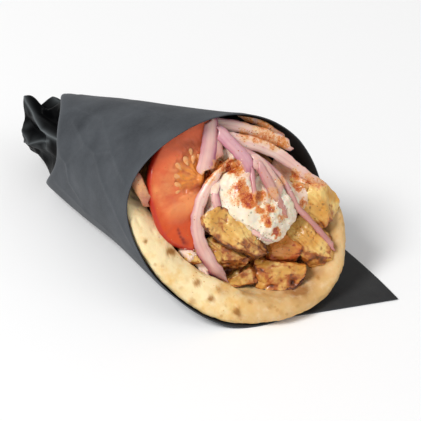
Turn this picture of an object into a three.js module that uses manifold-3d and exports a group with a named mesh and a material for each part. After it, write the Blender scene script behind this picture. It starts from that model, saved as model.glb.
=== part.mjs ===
// Chicken gyro: a folded pita of chicken, tomato, red onion and yogurt sauce in a rolled paper cone
// that lies on its side. Millimetres, +Z up, +Y towards the twisted tail of the paper. The origin is
// on the table, under the middle of the whole.

import * as THREE from "three";
import { mergeVertices } from "three/addons/utils/BufferGeometryUtils.js";
import Module from "manifold-3d";

const wasm = await Module();
wasm.setup();

const rad = THREE.MathUtils.degToRad;
const { smoothstep, lerp } = THREE.MathUtils;
const fullTurn = 2 * Math.PI;

// The lying cone: its lowest line is on the table, its axis rises towards the mouth
const mouthFoot = new THREE.Vector3(-8.8, -53.6, 0); // on the table under the middle of the mouth
const coneHalfAngle = rad(9.76);
const mouthRadius = 49.4;
const pressedFlat = 4.5; // how far the round underside is pressed in by the weight
const pressBlend = 2.5;
const clearance = 0.35; // between pieces that touch

// Where the filling pushes the cone outwards, each over a range of distances from the apex
const swells = [
  { height: 1.2, at: rad(206), spread: rad(60), from: 100, to: 130 },
  { height: 2.3, at: rad(52), spread: rad(38), from: 215, to: 275 },
];

// Paper sheet, rolled once round with its outer end lying flat as a flap
const paperThickness = 0.5;
const paperLap = 0.85; // the inner end passes this far above the outer layer
const paperLapFrom = rad(250);
const paperLapTo = rad(330);
const paperEnd = rad(352);
const paperRim = {
  mean: 281.1,
  lean: 25.7,
  leanAt: rad(-37.9),
  waves: [
    { count: 2, height: 8.8, at: rad(19.4) },
    { count: 3, height: 1.1, at: rad(63.4) },
  ],
};
const paperBack = 147;
const paperBackDip = { height: 28, at: rad(112), spread: rad(46) };
const paperBackTongue = { height: 11, at: rad(215), spread: rad(60) };
const flapCorner = new THREE.Vector3(50.9, -59.3, 0);
const flapElbow = new THREE.Vector3(73.3, 23.9, 0);
const flapHip = new THREE.Vector3(68, 75, 0);
const flapEnd = new THREE.Vector3(7, 136, 0);

// Twisted tail of the paper, with a lobe that stands up at its end
const tailFront = 188;
const tailEnd = 118.5;
const tailRounding = 10;
const tailWaist = { radius: 14, taper: 0.11 };
const tailSink = { over: 20, margin: 12 };
const tailLobe = { height: 8.5, at: rad(162), spread: rad(22), along: 122, reach: 4 };
const tailRise = { height: 5.2, until: 168 };
const tailFolds = [
  { count: 4, height: 0.06, twist: 0.27, phase: 0.4 },
  { count: 7, height: 0.035, twist: -0.4, phase: 1.7 },
];

// Pita, a thick round bread bent into a trough
const pitaThickness = 8;
const pitaRounding = 4.5;
const pitaLip = { height: 5.5, at: rad(66), spread: rad(48), from: 6, to: 36 }; // thicker along the rim
const pitaRim = {
  mean: 281.6,
  lean: 38.2,
  leanAt: rad(-37.4),
  waves: [
    { count: 2, height: 4.4, at: rad(40.6) },
    { count: 5, height: 0.8, at: rad(55.6) },
    { count: 9, height: 0.5, at: rad(-30.3) },
  ],
};
const pitaBack = 196;
const pitaMiddle = rad(17);
const pitaHalfTurn = rad(92);
const pitaHalfGain = rad(40); // it closes further round the filling towards the tail
const pitaOffLap = { from: rad(-8), to: rad(15) }; // where it leaves the paper's inner layer

// Filling core behind the pieces that show
const coreInset = 10.2;
const coreBack = 200;
const coreSetback = 18; // behind the pita's rim
const coreDome = 9;
const coreLumps = { height: 2.2, count: 4, cross: 3, shift: 3 };

// Pieces that show, in the frame of the opening: across, up the slope, outwards
const openingAt = new THREE.Vector3(-1.6, 0.4, 43.1);
const openingTurn = rad(-42.6);
const openingLift = rad(36);

const chickenPieces = [
  { at: [-2.5, -7.6, -2.5], size: [37, 14.5, 15], turn: -35, tip: 4, nod: 0, seed: 11 },
  { at: [-9.5, -17, -11], size: [28, 16, 14], turn: -33, tip: 0, nod: 8, seed: 23 },
  { at: [0.5, -28.6, -17], size: [18, 13, 14], turn: -6, tip: 0, nod: 20, seed: 37 },
  { at: [21, -15, -18], size: [19, 14, 14], turn: -8, tip: 0, nod: 10, seed: 41 },
  { at: [20.5, -27.6, -16.5], size: [29, 16, 15], turn: -12, tip: 5, nod: 20, seed: 53 },
  { at: [36, -12.5, -17], size: [36, 18, 15], turn: -42, tip: 8, nod: 0, seed: 61 },
  { at: [41.5, 5, -16.5], size: [25, 17, 15], turn: -60, tip: 14, nod: 0, seed: 71 },
  { at: [32, 14, -14], size: [18, 12, 11], turn: -62, tip: 10, nod: 0, seed: 83 },
  { at: [-4, 27, -5], size: [17, 11, 10], turn: 25, tip: 0, nod: 0, seed: 97 },
  { at: [-24.5, -16.2, -8], size: [9.5, 7, 7], turn: -20, tip: 0, nod: 0, seed: 101 },
];
const chickenSquareness = 3.2;
const chickenWaves = { count: 6, pace: [2, 5], height: [0.025, 0.06] };

const tomato = {
  at: [-11.7, 19.5, -6],
  tip: 12.5,
  nod: 5,
  radius: 33,
  stretch: 1.1,
  thick: 8,
  edge: 1.2,
  from: 93,
  to: 251,
};
const tomatoHollow = { reach: 12.7, turn: 164, size: [8, 11.5, 2.6] };

const sauce = { at: [8.5, 7.5, -4], size: [38, 34, 21], tip: 14, nod: -4 };
const sauceLobes = [
  { count: 3, height: 0.1, phase: 0.5 },
  { count: 5, height: 0.06, phase: 2.4 },
];

const onionThick = 2.1;
const onionStep = 4.5;
const onionTip = 0.8;
const onionTaper = { width: 0.5, over: 0.17 };
const onionStrips = [
  {
    width: 6,
    roll: -12,
    path: [
      [-13.2, 49.3, 3], [-13.7, 43, 2.6], [-14.7, 36.1, 2.2], [-17.1, 29.3, 1.8],
      [-19.5, 23, 1.6],
    ],
  },
  {
    width: 5,
    roll: 14,
    path: [
      [-8.8, 26.4, 1.8], [-12.7, 20.5, 2], [-16.6, 14.7, 2], [-19.5, 8.3, 1.6],
      [-21, 1, 0.8], [-20.5, -5.9, 0], [-18.1, -13.7, -1.6], [-13.7, -21, -4],
      [-9.3, -26.9, -7], [-5.4, -30.8, -11],
    ],
  },
  {
    width: 4,
    roll: 10,
    path: [
      [-10.9, 15.6, 2], [-11.2, 10.3, 3.4], [-7.8, 4.9, 5], [-2.9, 0.2, 5.4], [6.3, -4.4, 4],
      [15.6, -9.3, -1],
    ],
  },
  {
    width: 5.5,
    roll: 16,
    path: [
      [-16.6, 47.4, -1], [-8.8, 46.9, -1.2], [0, 45.4, -2.5], [8.8, 43, -4.5],
      [17.1, 40, -6.5], [25.4, 36.1, -9],
    ],
  },
  {
    width: 4.2,
    roll: 40,
    path: [
      [0, 50.8, -6], [7.3, 48.8, -6.5], [14.7, 44.4, -8.5], [23, 39.1, -12],
    ],
  },
  {
    width: 6.6,
    roll: 8,
    path: [
      [-8.8, 40, 0], [0, 38.6, -0.8], [8.8, 36.6, -2], [17.1, 33.2, -4.5],
      [25.4, 27.8, -7.5], [33.2, 21.5, -10.5], [41.5, 14.7, -14], [46.4, 10.3, -17],
    ],
  },
  {
    width: 5,
    roll: -14,
    path: [
      [-10.7, 44, 3.4], [-6.3, 39.1, 3.8], [-1.5, 34.2, 3.8], [2.9, 28.8, 3.4],
      [5.4, 23.9, 2.6],
    ],
  },
  {
    width: 3.8,
    roll: 12,
    path: [
      [1.5, 34.2, 1.5], [8.8, 30.3, 1], [15.6, 24.9, 0], [21.5, 18.6, -1], [24.9, 12.2, -2],
      [28.3, 5.9, -3.6], [33.7, 0.5, -6], [40, -6.3, -9.5], [46.9, -14.2, -13],
    ],
  },
  {
    width: 4.2,
    roll: -10,
    path: [
      [7.8, 27.8, 4.6], [10.7, 21.5, 5.6], [14.2, 14.7, 5.6], [18.1, 8.3, 4.6],
      [22, 2.4, 2.4],
    ],
  },
  { width: 2.6, roll: 0, path: [[5.4, 24.4, 6], [6.3, 17.6, 7.6], [7.3, 10.3, 8.6]] },
  {
    width: 6,
    roll: 25,
    path: [
      [-51.8, 21.5, 3], [-49.3, 16.1, 3.6], [-45.9, 10.3, 3.6], [-43, 6.3, 3],
    ],
  },
  { width: 6, roll: 6, path: [[-11.7, 40.5, 1.2], [-11.2, 34.7, 1], [-11.7, 28.8, 0.6]] },
  {
    width: 5,
    roll: -6,
    path: [
      [5.9, 30.3, 2.5], [11.7, 24.9, 2.6], [16.6, 18.6, 2.4], [20, 11.7, 1.5],
    ],
  },
];

const colours = {
  paper: 0x55595e,
  pita: 0xe8c88f,
  chicken: 0xdba565,
  core: 0xb27a45,
  tomato: 0xe27d4b,
  onion: 0xdcb1b8,
  sauce: 0xf2e6d2,
};

// Derived places
const apexBack = mouthRadius / Math.sin(coneHalfAngle) - mouthRadius * Math.sin(coneHalfAngle);
const slope = Math.tan(coneHalfAngle);

function seededRandom(seed) {
  let state = seed;
  return () => {
    state = (state * 1664525 + 1013904223) % 4294967296;
    return state / 4294967296;
  };
}

const bell = (value) => Math.exp(-value * value);

// Share of a bulge that is felt at a turn, whichever way round is shorter
function bulge({ height, at, spread }, turn) {
  const gap = Math.atan2(Math.sin(turn - at), Math.cos(turn - at));
  return height * bell(gap / spread);
}

// Triangle wave between -1 and 1, for creased folds
const crease = (value) => 1 - 4 * Math.abs(value / fullTurn - Math.floor(value / fullTurn + 0.5));

// Height over a floor that the round underside is pressed against, with a soft turn
function pressed(height, floor) {
  const over = height - floor;
  if (over >= pressBlend) return height;
  if (over <= -pressBlend) return floor;
  return floor + (over + pressBlend) ** 2 / (4 * pressBlend);
}

// Point round the cone's axis: distance from the apex, turn from the underside towards the left side
function roundAxis(along, turn, radius, floor) {
  const across = -radius * Math.sin(turn);
  const lift = -radius * Math.cos(turn);
  const y = apexBack - along * Math.cos(coneHalfAngle) + lift * Math.sin(coneHalfAngle);
  const z = along * Math.sin(coneHalfAngle) + lift * Math.cos(coneHalfAngle) - pressedFlat;
  return new THREE.Vector3(across, y, pressed(z, floor));
}

// Radius of the paper's outer face
const wallRadius = (along, turn) =>
  swells.reduce(
    (sum, swell) => sum + bulge(swell, turn) * smoothstep(along, swell.from, swell.to),
    along * slope,
  );

// Point at a depth inside the outer face of the paper
const insideCone = (along, turn, inset) => roundAxis(along, turn, wallRadius(along, turn) - inset, inset);

// Distance of a slanting, wavy rim from the apex
const rimAt = (rim, turn) =>
  rim.waves.reduce(
    (sum, wave) => sum + wave.height * Math.cos(wave.count * turn - wave.at),
    rim.mean + rim.lean * Math.cos(turn - rim.leanAt),
  );

const paperBackAt = (turn) => paperBack + bulge(paperBackDip, turn) - bulge(paperBackTongue, turn);

const paperInset = (turn) => paperLap * smoothstep(turn, paperLapFrom, paperLapTo);

// Closed skin collected from quads; coincident corners are merged and empty triangles left out
class Skin {
  corners = [];

  triangle(a, b, c) {
    this.corners.push(a, b, c);
  }

  quad(a, b, c, d) {
    this.triangle(a, b, c);
    this.triangle(a, c, d);
  }

  geometry() {
    const loose = new THREE.BufferGeometry().setFromPoints(this.corners);
    return withoutEmpty(mergeVertices(loose, 1e-4));
  }
}

function withoutEmpty(geometry) {
  const index = geometry.index.array;
  const kept = [];
  for (let i = 0; i < index.length; i += 3) {
    const [a, b, c] = index.slice(i, i + 3);
    if (a !== b && b !== c && c !== a) kept.push(a, b, c);
  }
  geometry.setIndex(kept);
  return geometry;
}

// Sheet between two grids of points, closed round its border
function slab(outer, inner) {
  const skin = new Skin();
  const lastRow = outer.length - 1;
  const lastColumn = outer[0].length - 1;
  for (let i = 0; i < lastRow; i += 1) {
    for (let j = 0; j < lastColumn; j += 1) {
      skin.quad(outer[i][j], outer[i + 1][j], outer[i + 1][j + 1], outer[i][j + 1]);
      skin.quad(inner[i][j], inner[i][j + 1], inner[i + 1][j + 1], inner[i + 1][j]);
    }
    skin.quad(inner[i][0], inner[i + 1][0], outer[i + 1][0], outer[i][0]);
    skin.quad(outer[i][lastColumn], outer[i + 1][lastColumn], inner[i + 1][lastColumn], inner[i][lastColumn]);
  }
  for (let j = 0; j < lastColumn; j += 1) {
    skin.quad(outer[0][j], outer[0][j + 1], inner[0][j + 1], inner[0][j]);
    skin.quad(inner[lastRow][j], inner[lastRow][j + 1], outer[lastRow][j + 1], outer[lastRow][j]);
  }
  return skin.geometry();
}

// Closed body over rings of points whose first and last rings are single points
function ringBody(rings) {
  const skin = new Skin();
  for (let i = 0; i < rings.length - 1; i += 1) {
    const count = rings[i].length;
    for (let j = 0; j < count; j += 1) {
      const next = (j + 1) % count;
      skin.quad(rings[i][j], rings[i + 1][j], rings[i + 1][next], rings[i][next]);
    }
  }
  return skin.geometry();
}

const repeat = (count, make) => Array.from({ length: count }, (unused, i) => make(i));

// Rolled sheet: columns run from the flap's free edge, under the cone, round it and inside the lap
function paperSheet(grow) {
  const flapColumns = 4;
  const roundColumns = 48;
  const rows = 3;
  const freeEdge = new THREE.CubicBezierCurve3(flapCorner, flapElbow, flapHip, flapEnd);

  const face = (inset, alongGrow) =>
    repeat(rows + 1, (i) => {
      const share = i / rows;
      const flap = repeat(flapColumns, (j) => {
        const foot = roundPoint(share, 0, inset, alongGrow);
        const free = freeEdge.getPoint(1 - share).setZ(foot.z);
        return free.lerp(foot, j / flapColumns);
      });
      const round = repeat(roundColumns + 1, (j) =>
        roundPoint(share, (paperEnd * j) / roundColumns, inset, alongGrow),
      );
      return [...flap, ...round];
    });

  const roundPoint = (share, turn, inset, alongGrow) => {
    const back = paperBackAt(turn) - alongGrow;
    const rim = rimAt(paperRim, turn) + alongGrow;
    return insideCone(lerp(back, rim, share), turn, paperInset(turn) + inset);
  };

  return slab(face(-grow, grow), face(paperThickness + grow, grow));
}

// Crumpled tail: fills the narrow end and sinks inside the sheet's back edge
function paperTail() {
  const columns = 32;
  const rows = 13;

  const radiusAt = (along, turn) => {
    const wall = wallRadius(along, turn) - paperThickness / 2;
    const waist = tailWaist.radius + tailWaist.taper * (along - tailEnd);
    const free = smoothstep(paperBackAt(turn) + tailSink.margin - along, 0, tailSink.over);
    const lobe = bulge(tailLobe, turn) * bell((along - tailLobe.along) / tailLobe.reach);
    const folds = tailFolds.reduce(
      (sum, fold) => sum + fold.height * crease(fold.count * turn + fold.twist * along + fold.phase),
      0,
    );
    const rounding = Math.min(1, (along - tailEnd) / tailRounding);
    const end = Math.sqrt(1 - (1 - rounding) ** 2);
    return lerp(wall, waist * (1 + folds) + lobe, free) * end;
  };

  const rings = repeat(rows + 1, (i) => {
    const along = lerp(tailEnd, tailFront, (i / rows) ** 1.4);
    const rise = tailRise.height * (1 - smoothstep(along, tailEnd, tailRise.until));
    return repeat(columns, (j) => {
      const turn = (fullTurn * j) / columns;
      const point = roundAxis(along, turn, radiusAt(along, turn), 0);
      point.z += rise;
      return point;
    });
  });
  const middle = Array(columns).fill(roundAxis(tailFront, 0, 0, 0));
  return ringBody([...rings, middle]);
}

// Rows across a rounded edge and on over the flat: distance from the edge for each row
function edgeRows(rounding, length, count) {
  const bend = 3;
  const over = repeat(bend + 1, (i) => rounding * (1 - Math.cos((Math.PI / 2) * (i / bend))));
  const flat = repeat(count, (i) => lerp(rounding, length, (i + 1) / count));
  return [...over, ...flat];
}

function pitaTrough(grow) {
  const depth = pitaRim.mean - pitaBack;
  const rowDepths = edgeRows(pitaRounding, depth - pitaRounding, 5);
  const rows = [...rowDepths, depth - pitaRounding / 2, depth];
  const halfWidth = pitaHalfTurn * mouthRadius;
  const halfColumns = edgeRows(pitaRounding, halfWidth, 8);
  const columns = [...halfColumns, ...halfColumns.slice(0, -1).reverse().map((d) => 2 * halfWidth - d)];

  const fullness = (rowDepth, columnReach) => {
    const side = Math.min(columnReach, 2 * halfWidth - columnReach);
    const nearest = Math.min(rowDepth, side, depth - rowDepth, pitaRounding);
    return Math.sqrt(1 - (1 - nearest / pitaRounding) ** 2);
  };

  const face = (side) =>
    rows.map((rowDepth) =>
      columns.map((reach) => {
        const share = rowDepth / depth;
        const half = pitaHalfTurn + pitaHalfGain * Math.sqrt(share);
        const turn = pitaMiddle + half * (reach / halfWidth - 1);
        const along = lerp(rimAt(pitaRim, turn) + grow, pitaBack - grow, share);
        const lap = paperLap * (1 - smoothstep(turn, pitaOffLap.from, pitaOffLap.to));
        const lip = bulge(pitaLip, turn) * (1 - smoothstep(rowDepth, pitaLip.from, pitaLip.to));
        const thick = pitaThickness + lip;
        const middle = paperThickness + lap + clearance + thick / 2;
        const halfThick = (thick / 2) * fullness(rowDepth, reach) + grow;
        return insideCone(along, turn, middle + side * halfThick);
      }),
    );

  return slab(face(1), face(-1));
}

// Packed filling that the visible pieces sit on, running down into the cone
function fillingCore() {
  const columns = 30;
  const shares = [0, 0.5, 1];
  const middleOf = (turn) => rimAt(pitaRim, turn) - coreSetback;
  const at = (along, turn, share) => {
    const radius = (along * slope - coreInset) * share;
    return roundAxis(along, turn, radius, coreInset);
  };
  const lump = (turn, share) =>
    coreLumps.height *
    share *
    Math.sin(coreLumps.count * turn + coreLumps.shift * share) *
    Math.cos(coreLumps.cross * turn);
  const turns = repeat(columns, (j) => (fullTurn * j) / columns);
  const back = shares.map((share) => turns.map((turn) => at(coreBack, turn, share)));
  const side = [0.5, 1].map((share) =>
    turns.map((turn) => at(lerp(coreBack, middleOf(turn), share), turn, 1)),
  );
  const cap = [0.8, 0.6, 0.4, 0.2, 0].map((share) =>
    turns.map((turn) => {
      const plane = lerp(pitaRim.mean - coreSetback, middleOf(turn), share);
      const along = plane + coreDome * (1 - share * share) + lump(turn, share);
      return at(along, turn, share);
    }),
  );
  return ringBody([...back, ...side, ...cap]);
}

// Cut of chicken: a rounded block with uneven faces
function chickenCut({ size, seed }, grow) {
  const random = seededRandom(seed);
  const waves = repeat(chickenWaves.count, () => ({
    way: new THREE.Vector3(random() - 0.5, random() - 0.5, random() - 0.5).normalize(),
    pace: lerp(...chickenWaves.pace, random()),
    phase: fullTurn * random(),
    height: lerp(...chickenWaves.height, random()),
  }));
  const half = new THREE.Vector3(...size).multiplyScalar(0.5);
  return reshaped(new THREE.SphereGeometry(1, 14, 9), (n) => {
    const k = chickenSquareness;
    const squared = (Math.abs(n.x) ** k + Math.abs(n.y) ** k + Math.abs(n.z) ** k) ** (-1 / k);
    const uneven = waves.reduce((sum, w) => sum + w.height * Math.sin(w.pace * n.dot(w.way) + w.phase), 1);
    return n.clone().multiply(half).multiplyScalar(squared * uneven).addScaledVector(n, grow);
  });
}

function yogurtSauce(grow) {
  const half = new THREE.Vector3(...sauce.size).multiplyScalar(0.5);
  return reshaped(new THREE.SphereGeometry(1, 20, 11), (n) => {
    const around = Math.atan2(n.y, n.x);
    const flat = Math.hypot(n.x, n.y);
    const lobes = sauceLobes.reduce(
      (sum, lobe) => sum + lobe.height * flat * Math.sin(lobe.count * around + lobe.phase),
      1,
    );
    return n.clone().multiply(half).multiplyScalar(lobes).addScaledVector(n, grow);
  });
}

// Sphere whose unit points are moved by a rule, as a merged closed skin
function reshaped(sphere, rule) {
  sphere.deleteAttribute("normal");
  sphere.deleteAttribute("uv");
  const merged = withoutEmpty(mergeVertices(sphere, 1e-4));
  const position = merged.attributes.position;
  const point = new THREE.Vector3();
  for (let i = 0; i < position.count; i += 1) {
    const moved = rule(point.fromBufferAttribute(position, i).normalize());
    position.setXYZ(i, moved.x, moved.y, moved.z);
  }
  return merged;
}

// Half-moon tomato slice lying in its own XY plane
function tomatoSlice(grow) {
  const outline = new THREE.Shape();
  const radius = tomato.radius - tomato.edge + grow;
  const wider = (2 * grow) / radius; // moves the straight cut outwards too
  const tall = radius * tomato.stretch;
  outline.absellipse(0, 0, radius, tall, rad(tomato.from) - wider, rad(tomato.to) + wider, false, 0);
  const slice = new THREE.ExtrudeGeometry(outline, {
    depth: tomato.thick - 2 * tomato.edge + 2 * grow,
    bevelSize: tomato.edge,
    bevelThickness: tomato.edge,
    bevelSegments: 1,
    curveSegments: 24,
  });
  return merged(slice.translate(0, 0, tomato.edge - tomato.thick / 2 - grow));
}

function tomatoSeedHollow({ reach, turn, size }) {
  const away = rad(turn);
  const hollow = new THREE.SphereGeometry(1, 12, 8).scale(...size).rotateZ(away);
  return merged(hollow.translate(reach * Math.cos(away), reach * Math.sin(away), tomato.thick / 2));
}

function merged(geometry) {
  geometry.deleteAttribute("normal");
  geometry.deleteAttribute("uv");
  return withoutEmpty(mergeVertices(geometry, 1e-4));
}

// Strip of onion: a crowned band along a curve, narrower at both ends
function onionStrip({ width, roll, path }, grow) {
  const sides = 8;
  const curve = new THREE.CatmullRomCurve3(path.map((place) => new THREE.Vector3(...place)));
  const steps = Math.max(6, Math.round(curve.getLength() / onionStep));
  const outwards = new THREE.Vector3(0, 0, 1);
  const section = (share, reach) => {
    const along = curve.getTangentAt(share);
    const middle = curve.getPointAt(share).addScaledVector(along, reach);
    const across = new THREE.Vector3().crossVectors(along, outwards).normalize();
    across.applyAxisAngle(along, rad(roll));
    const up = new THREE.Vector3().crossVectors(across, along);
    const inwards = Math.min(1, Math.min(share, 1 - share) / onionTaper.over);
    const taper = lerp(onionTaper.width, 1, inwards);
    return repeat(sides, (k) => {
      const angle = (fullTurn * (k + 0.5)) / sides;
      const wide = (width / 2) * taper + grow;
      const high = onionThick / 2 + grow;
      return middle
        .clone()
        .addScaledVector(across, wide * Math.cos(angle))
        .addScaledVector(up, high * Math.sin(angle));
    });
  };
  const end = (share, reach) => {
    const tip = curve.getPointAt(share).addScaledVector(curve.getTangentAt(share), reach);
    return Array(sides).fill(tip);
  };
  const body = repeat(steps + 1, (i) => section(i / steps, 0));
  return ringBody([end(0, -onionTip - grow), ...body, end(1, onionTip + grow)]);
}

function solidOf(geometry) {
  return new wasm.Manifold(
    new wasm.Mesh({
      numProp: 3,
      vertProperties: new Float32Array(geometry.attributes.position.array),
      triVerts: new Uint32Array(geometry.index.array),
    }),
  );
}

function geometryOf(solid) {
  const mesh = solid.getMesh();
  const geometry = new THREE.BufferGeometry();
  geometry.setAttribute("position", new THREE.BufferAttribute(mesh.vertProperties, 3));
  geometry.setIndex(new THREE.BufferAttribute(mesh.triVerts, 1));
  return geometry;
}

const placed = (geometry, matrix) => geometry.clone().applyMatrix4(matrix);

// Cuts a mesh clear of the pieces it leans on and keeps its largest body
function fitted(mesh, cutters) {
  mesh.updateWorldMatrix(true, false);
  const uncut = solidOf(placed(mesh.geometry, mesh.matrixWorld));
  const cut = cutters.reduce((solid, cutter) => solid.subtract(cutter), uncut);
  const bodies = cut.decompose().sort((a, b) => b.volume() - a.volume());
  mesh.geometry = placed(geometryOf(bodies[0]), mesh.matrixWorld.clone().invert());
}

function piece(name, colour, roughness, geometry, parent) {
  const material = new THREE.MeshStandardMaterial({ color: colour, roughness, metalness: 0 });
  const mesh = new THREE.Mesh(geometry, material);
  mesh.name = name;
  parent.add(mesh);
  return mesh;
}

const gyro = new THREE.Group();
const cone = new THREE.Group();
cone.position.copy(mouthFoot);
gyro.add(cone);

const opening = new THREE.Group();
opening.position.copy(openingAt);
opening.rotation.set(Math.PI / 2 - openingLift, 0, openingTurn, "ZXY");
cone.add(opening);

// Shapes grown by the clearance, that every later piece is cut to fit
const settled = [];

function settle(mesh, grownGeometry) {
  fitted(mesh, settled);
  settled.push(solidOf(placed(grownGeometry, mesh.matrixWorld)));
}

const sheet = solidOf(paperSheet(0)).add(solidOf(paperTail()));
const paper = piece("paper_wrap", colours.paper, 0.8, geometryOf(sheet), cone);
settle(paper, paperSheet(clearance));

const pita = piece("pita", colours.pita, 0.75, pitaTrough(0), cone);
settle(pita, pitaTrough(clearance));

chickenPieces.forEach((cut, i) => {
  const mesh = piece(`chicken_${i + 1}`, colours.chicken, 0.6, chickenCut(cut, 0), opening);
  mesh.position.set(...cut.at);
  mesh.rotation.set(rad(cut.nod), rad(cut.tip), rad(cut.turn), "XYZ");
  settle(mesh, chickenCut(cut, clearance));
});

const slice = solidOf(tomatoSlice(0)).subtract(solidOf(tomatoSeedHollow(tomatoHollow)));
const tomatoMesh = piece("tomato_slice", colours.tomato, 0.4, geometryOf(slice), opening);
tomatoMesh.position.set(...tomato.at);
tomatoMesh.rotation.set(rad(tomato.nod), rad(tomato.tip), 0);
settle(tomatoMesh, tomatoSlice(clearance));

onionStrips.forEach((strip, i) => {
  const mesh = piece(`onion_${i + 1}`, colours.onion, 0.45, onionStrip(strip, 0), opening);
  settle(mesh, onionStrip(strip, clearance));
});

const sauceMesh = piece("yogurt_sauce", colours.sauce, 0.35, yogurtSauce(0), opening);
sauceMesh.position.set(...sauce.at);
sauceMesh.rotation.set(rad(sauce.nod), rad(sauce.tip), 0);
settle(sauceMesh, yogurtSauce(clearance));

const core = piece("filling_core", colours.core, 0.7, fillingCore(), cone);
fitted(core, settled);

gyro.traverse((object) => object.geometry?.computeVertexNormals());

export default gyro;
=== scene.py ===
import math

import bmesh
import bpy
import numpy as np
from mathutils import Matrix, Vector
from mathutils.bvhtree import BVHTree


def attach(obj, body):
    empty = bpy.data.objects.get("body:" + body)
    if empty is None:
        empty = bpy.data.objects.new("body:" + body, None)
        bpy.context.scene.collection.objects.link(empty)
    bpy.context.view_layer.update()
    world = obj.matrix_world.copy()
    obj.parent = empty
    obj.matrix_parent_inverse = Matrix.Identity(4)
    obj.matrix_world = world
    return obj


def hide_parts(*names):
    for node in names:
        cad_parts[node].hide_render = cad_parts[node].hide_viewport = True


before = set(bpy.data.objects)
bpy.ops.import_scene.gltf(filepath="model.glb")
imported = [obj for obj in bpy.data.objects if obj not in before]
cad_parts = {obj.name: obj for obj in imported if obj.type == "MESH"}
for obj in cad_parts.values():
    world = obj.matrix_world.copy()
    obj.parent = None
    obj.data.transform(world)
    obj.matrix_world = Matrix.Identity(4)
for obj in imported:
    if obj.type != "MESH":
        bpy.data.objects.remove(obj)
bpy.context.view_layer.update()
mm = 0.001
rad = math.radians
print("frame loaded,", len(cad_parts), "nodes")


# Small helpers for numbers and noise. Points are in millimetres until a mesh is made.

def eased(value, start, end):
    share = np.clip((value - start) / (end - start), 0.0, 1.0)
    return share * share * (3 - 2 * share)


def bell(value):
    return np.exp(-value * value)


def mixed(a, b, share):
    return a + (b - a) * share


def asShare(value):  # from -1..1 to 0..1
    return 0.5 + 0.5 * np.clip(value, -1, 1)


def onPlane(x, y):
    return np.stack(np.broadcast_arrays(x, y, 0.0), -1)


def awayFrom(place, x, y):
    return np.hypot(place[..., 0] - x, place[..., 1] - y)


def spotted(place, spots):  # soft round spots, each as across, up, radius, strength
    return sum(strength * bell(awayFrom(place, x, y) / radius) for x, y, radius, strength in spots)


def weighed(parts, weights):
    return sum(weight * parts[name] for name, weight in weights.items())


hashing = {
    "primes": np.array([374761393, 668265263, 2246822519], np.uint32), "seedStep": 40503, "seedFrom": 977,
    "rounds": [(15, 2246822519), (13, 3266489917), (16, 1)], "kept": 0xFFFFFF,
}


def latticeValue(cell, seed):
    spread = cell.astype(np.uint32) * hashing["primes"]
    mashed = np.bitwise_xor.reduce(spread, -1) ^ np.uint32(seed * hashing["seedStep"] + hashing["seedFrom"])
    for shift, factor in hashing["rounds"]:
        mashed = (mashed ^ (mashed >> np.uint32(shift))) * np.uint32(factor)
    return (mashed & np.uint32(hashing["kept"])) / float(hashing["kept"]) * 2 - 1


def softNoise(points, size, seed):  # from -1 to 1, lumps about one size across
    scaled = np.asarray(points, float) / size + seed * 7.31
    cell = np.floor(scaled).astype(np.int64)
    part = scaled - cell
    ease = part ** 3 * (part * (part * 6 - 15) + 10)
    total = np.zeros(scaled.shape[:-1])
    for corner in range(8):
        step = np.array([corner & 1, corner >> 1 & 1, corner >> 2])
        weight = np.prod(np.where(step == 1, ease, 1 - ease), axis=-1)
        total += weight * latticeValue(cell + step, seed)
    return total


def roughNoise(points, size, seed, octaves=3):
    return sum(softNoise(points, size / 2 ** i, seed + 13 * i) / 2 ** i for i in range(octaves))


def layered(points, layers):  # noise of several sizes, each as height, size, seed and octaves
    return sum(height * roughNoise(points, *layer) for height, *layer in layers)


def awayFromLine(flat, line):  # distance from a bent line in the plane
    nearest = np.full(flat.shape[:-1], np.inf)
    for a, b in zip(line[:-1], line[1:]):
        way = b - a
        share = np.clip(((flat - a) @ way) / (way @ way), 0, 1)
        nearest = np.minimum(nearest, np.linalg.norm(flat - a - share[..., None] * way, axis=-1))
    return nearest


# Meshes

def meshFrom(name, points, faces=(), edges=()):
    mesh = bpy.data.meshes.new(name)
    mesh.from_pydata((np.asarray(points, float) * mm).tolist(), list(edges), [list(face) for face in faces])
    mesh.shade_smooth()
    return mesh


def gridQuads(rows, columns, start=0, flip=False, wrap=False):
    r, c = np.meshgrid(np.arange(rows - 1), np.arange(columns if wrap else columns - 1), indexing="ij")
    here, beside = start + r * columns + c, start + r * columns + (c + 1) % columns
    quads = np.stack([here, here + columns, beside + columns, beside], -1).reshape(-1, 4)
    return quads[:, ::-1] if flip else quads


# Closed sheet between two grids of points; a lined one has material 1 on its inner face
def slabMesh(name, outer, inner, lined=False):
    rows, columns = outer.shape[:2]
    grid = np.arange(rows * columns).reshape(rows, columns)
    loop = np.concatenate([grid[0, :-1], grid[:-1, -1], grid[-1, :0:-1], grid[:0:-1, 0]])
    follow = np.roll(loop, -1)
    border = np.stack([loop, follow, follow + grid.size, loop + grid.size], -1)
    face, lining = gridQuads(rows, columns), gridQuads(rows, columns, grid.size, True)
    points = np.concatenate([outer.reshape(-1, 3), inner.reshape(-1, 3)])
    mesh = meshFrom(name, points, np.concatenate([face, lining, border]))
    if lined:
        index = np.repeat([0, 1, 0], [len(face), len(lining), len(border)]).astype(np.int32)
        mesh.polygons.foreach_set("material_index", index)
    return mesh


def welded(mesh, near=2e-6, smallest=1e-7):  # joins corners that coincide, so that thin edges close
    work = bmesh.new()
    work.from_mesh(mesh)
    bmesh.ops.remove_doubles(work, verts=work.verts, dist=near)
    bmesh.ops.dissolve_degenerate(work, edges=work.edges, dist=smallest)
    work.to_mesh(mesh)
    work.free()
    mesh.shade_smooth()
    return mesh


def pointsOf(mesh):
    flat = np.zeros(len(mesh.vertices) * 3)
    mesh.vertices.foreach_get("co", flat)
    return flat.reshape(-1, 3) / mm


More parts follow.
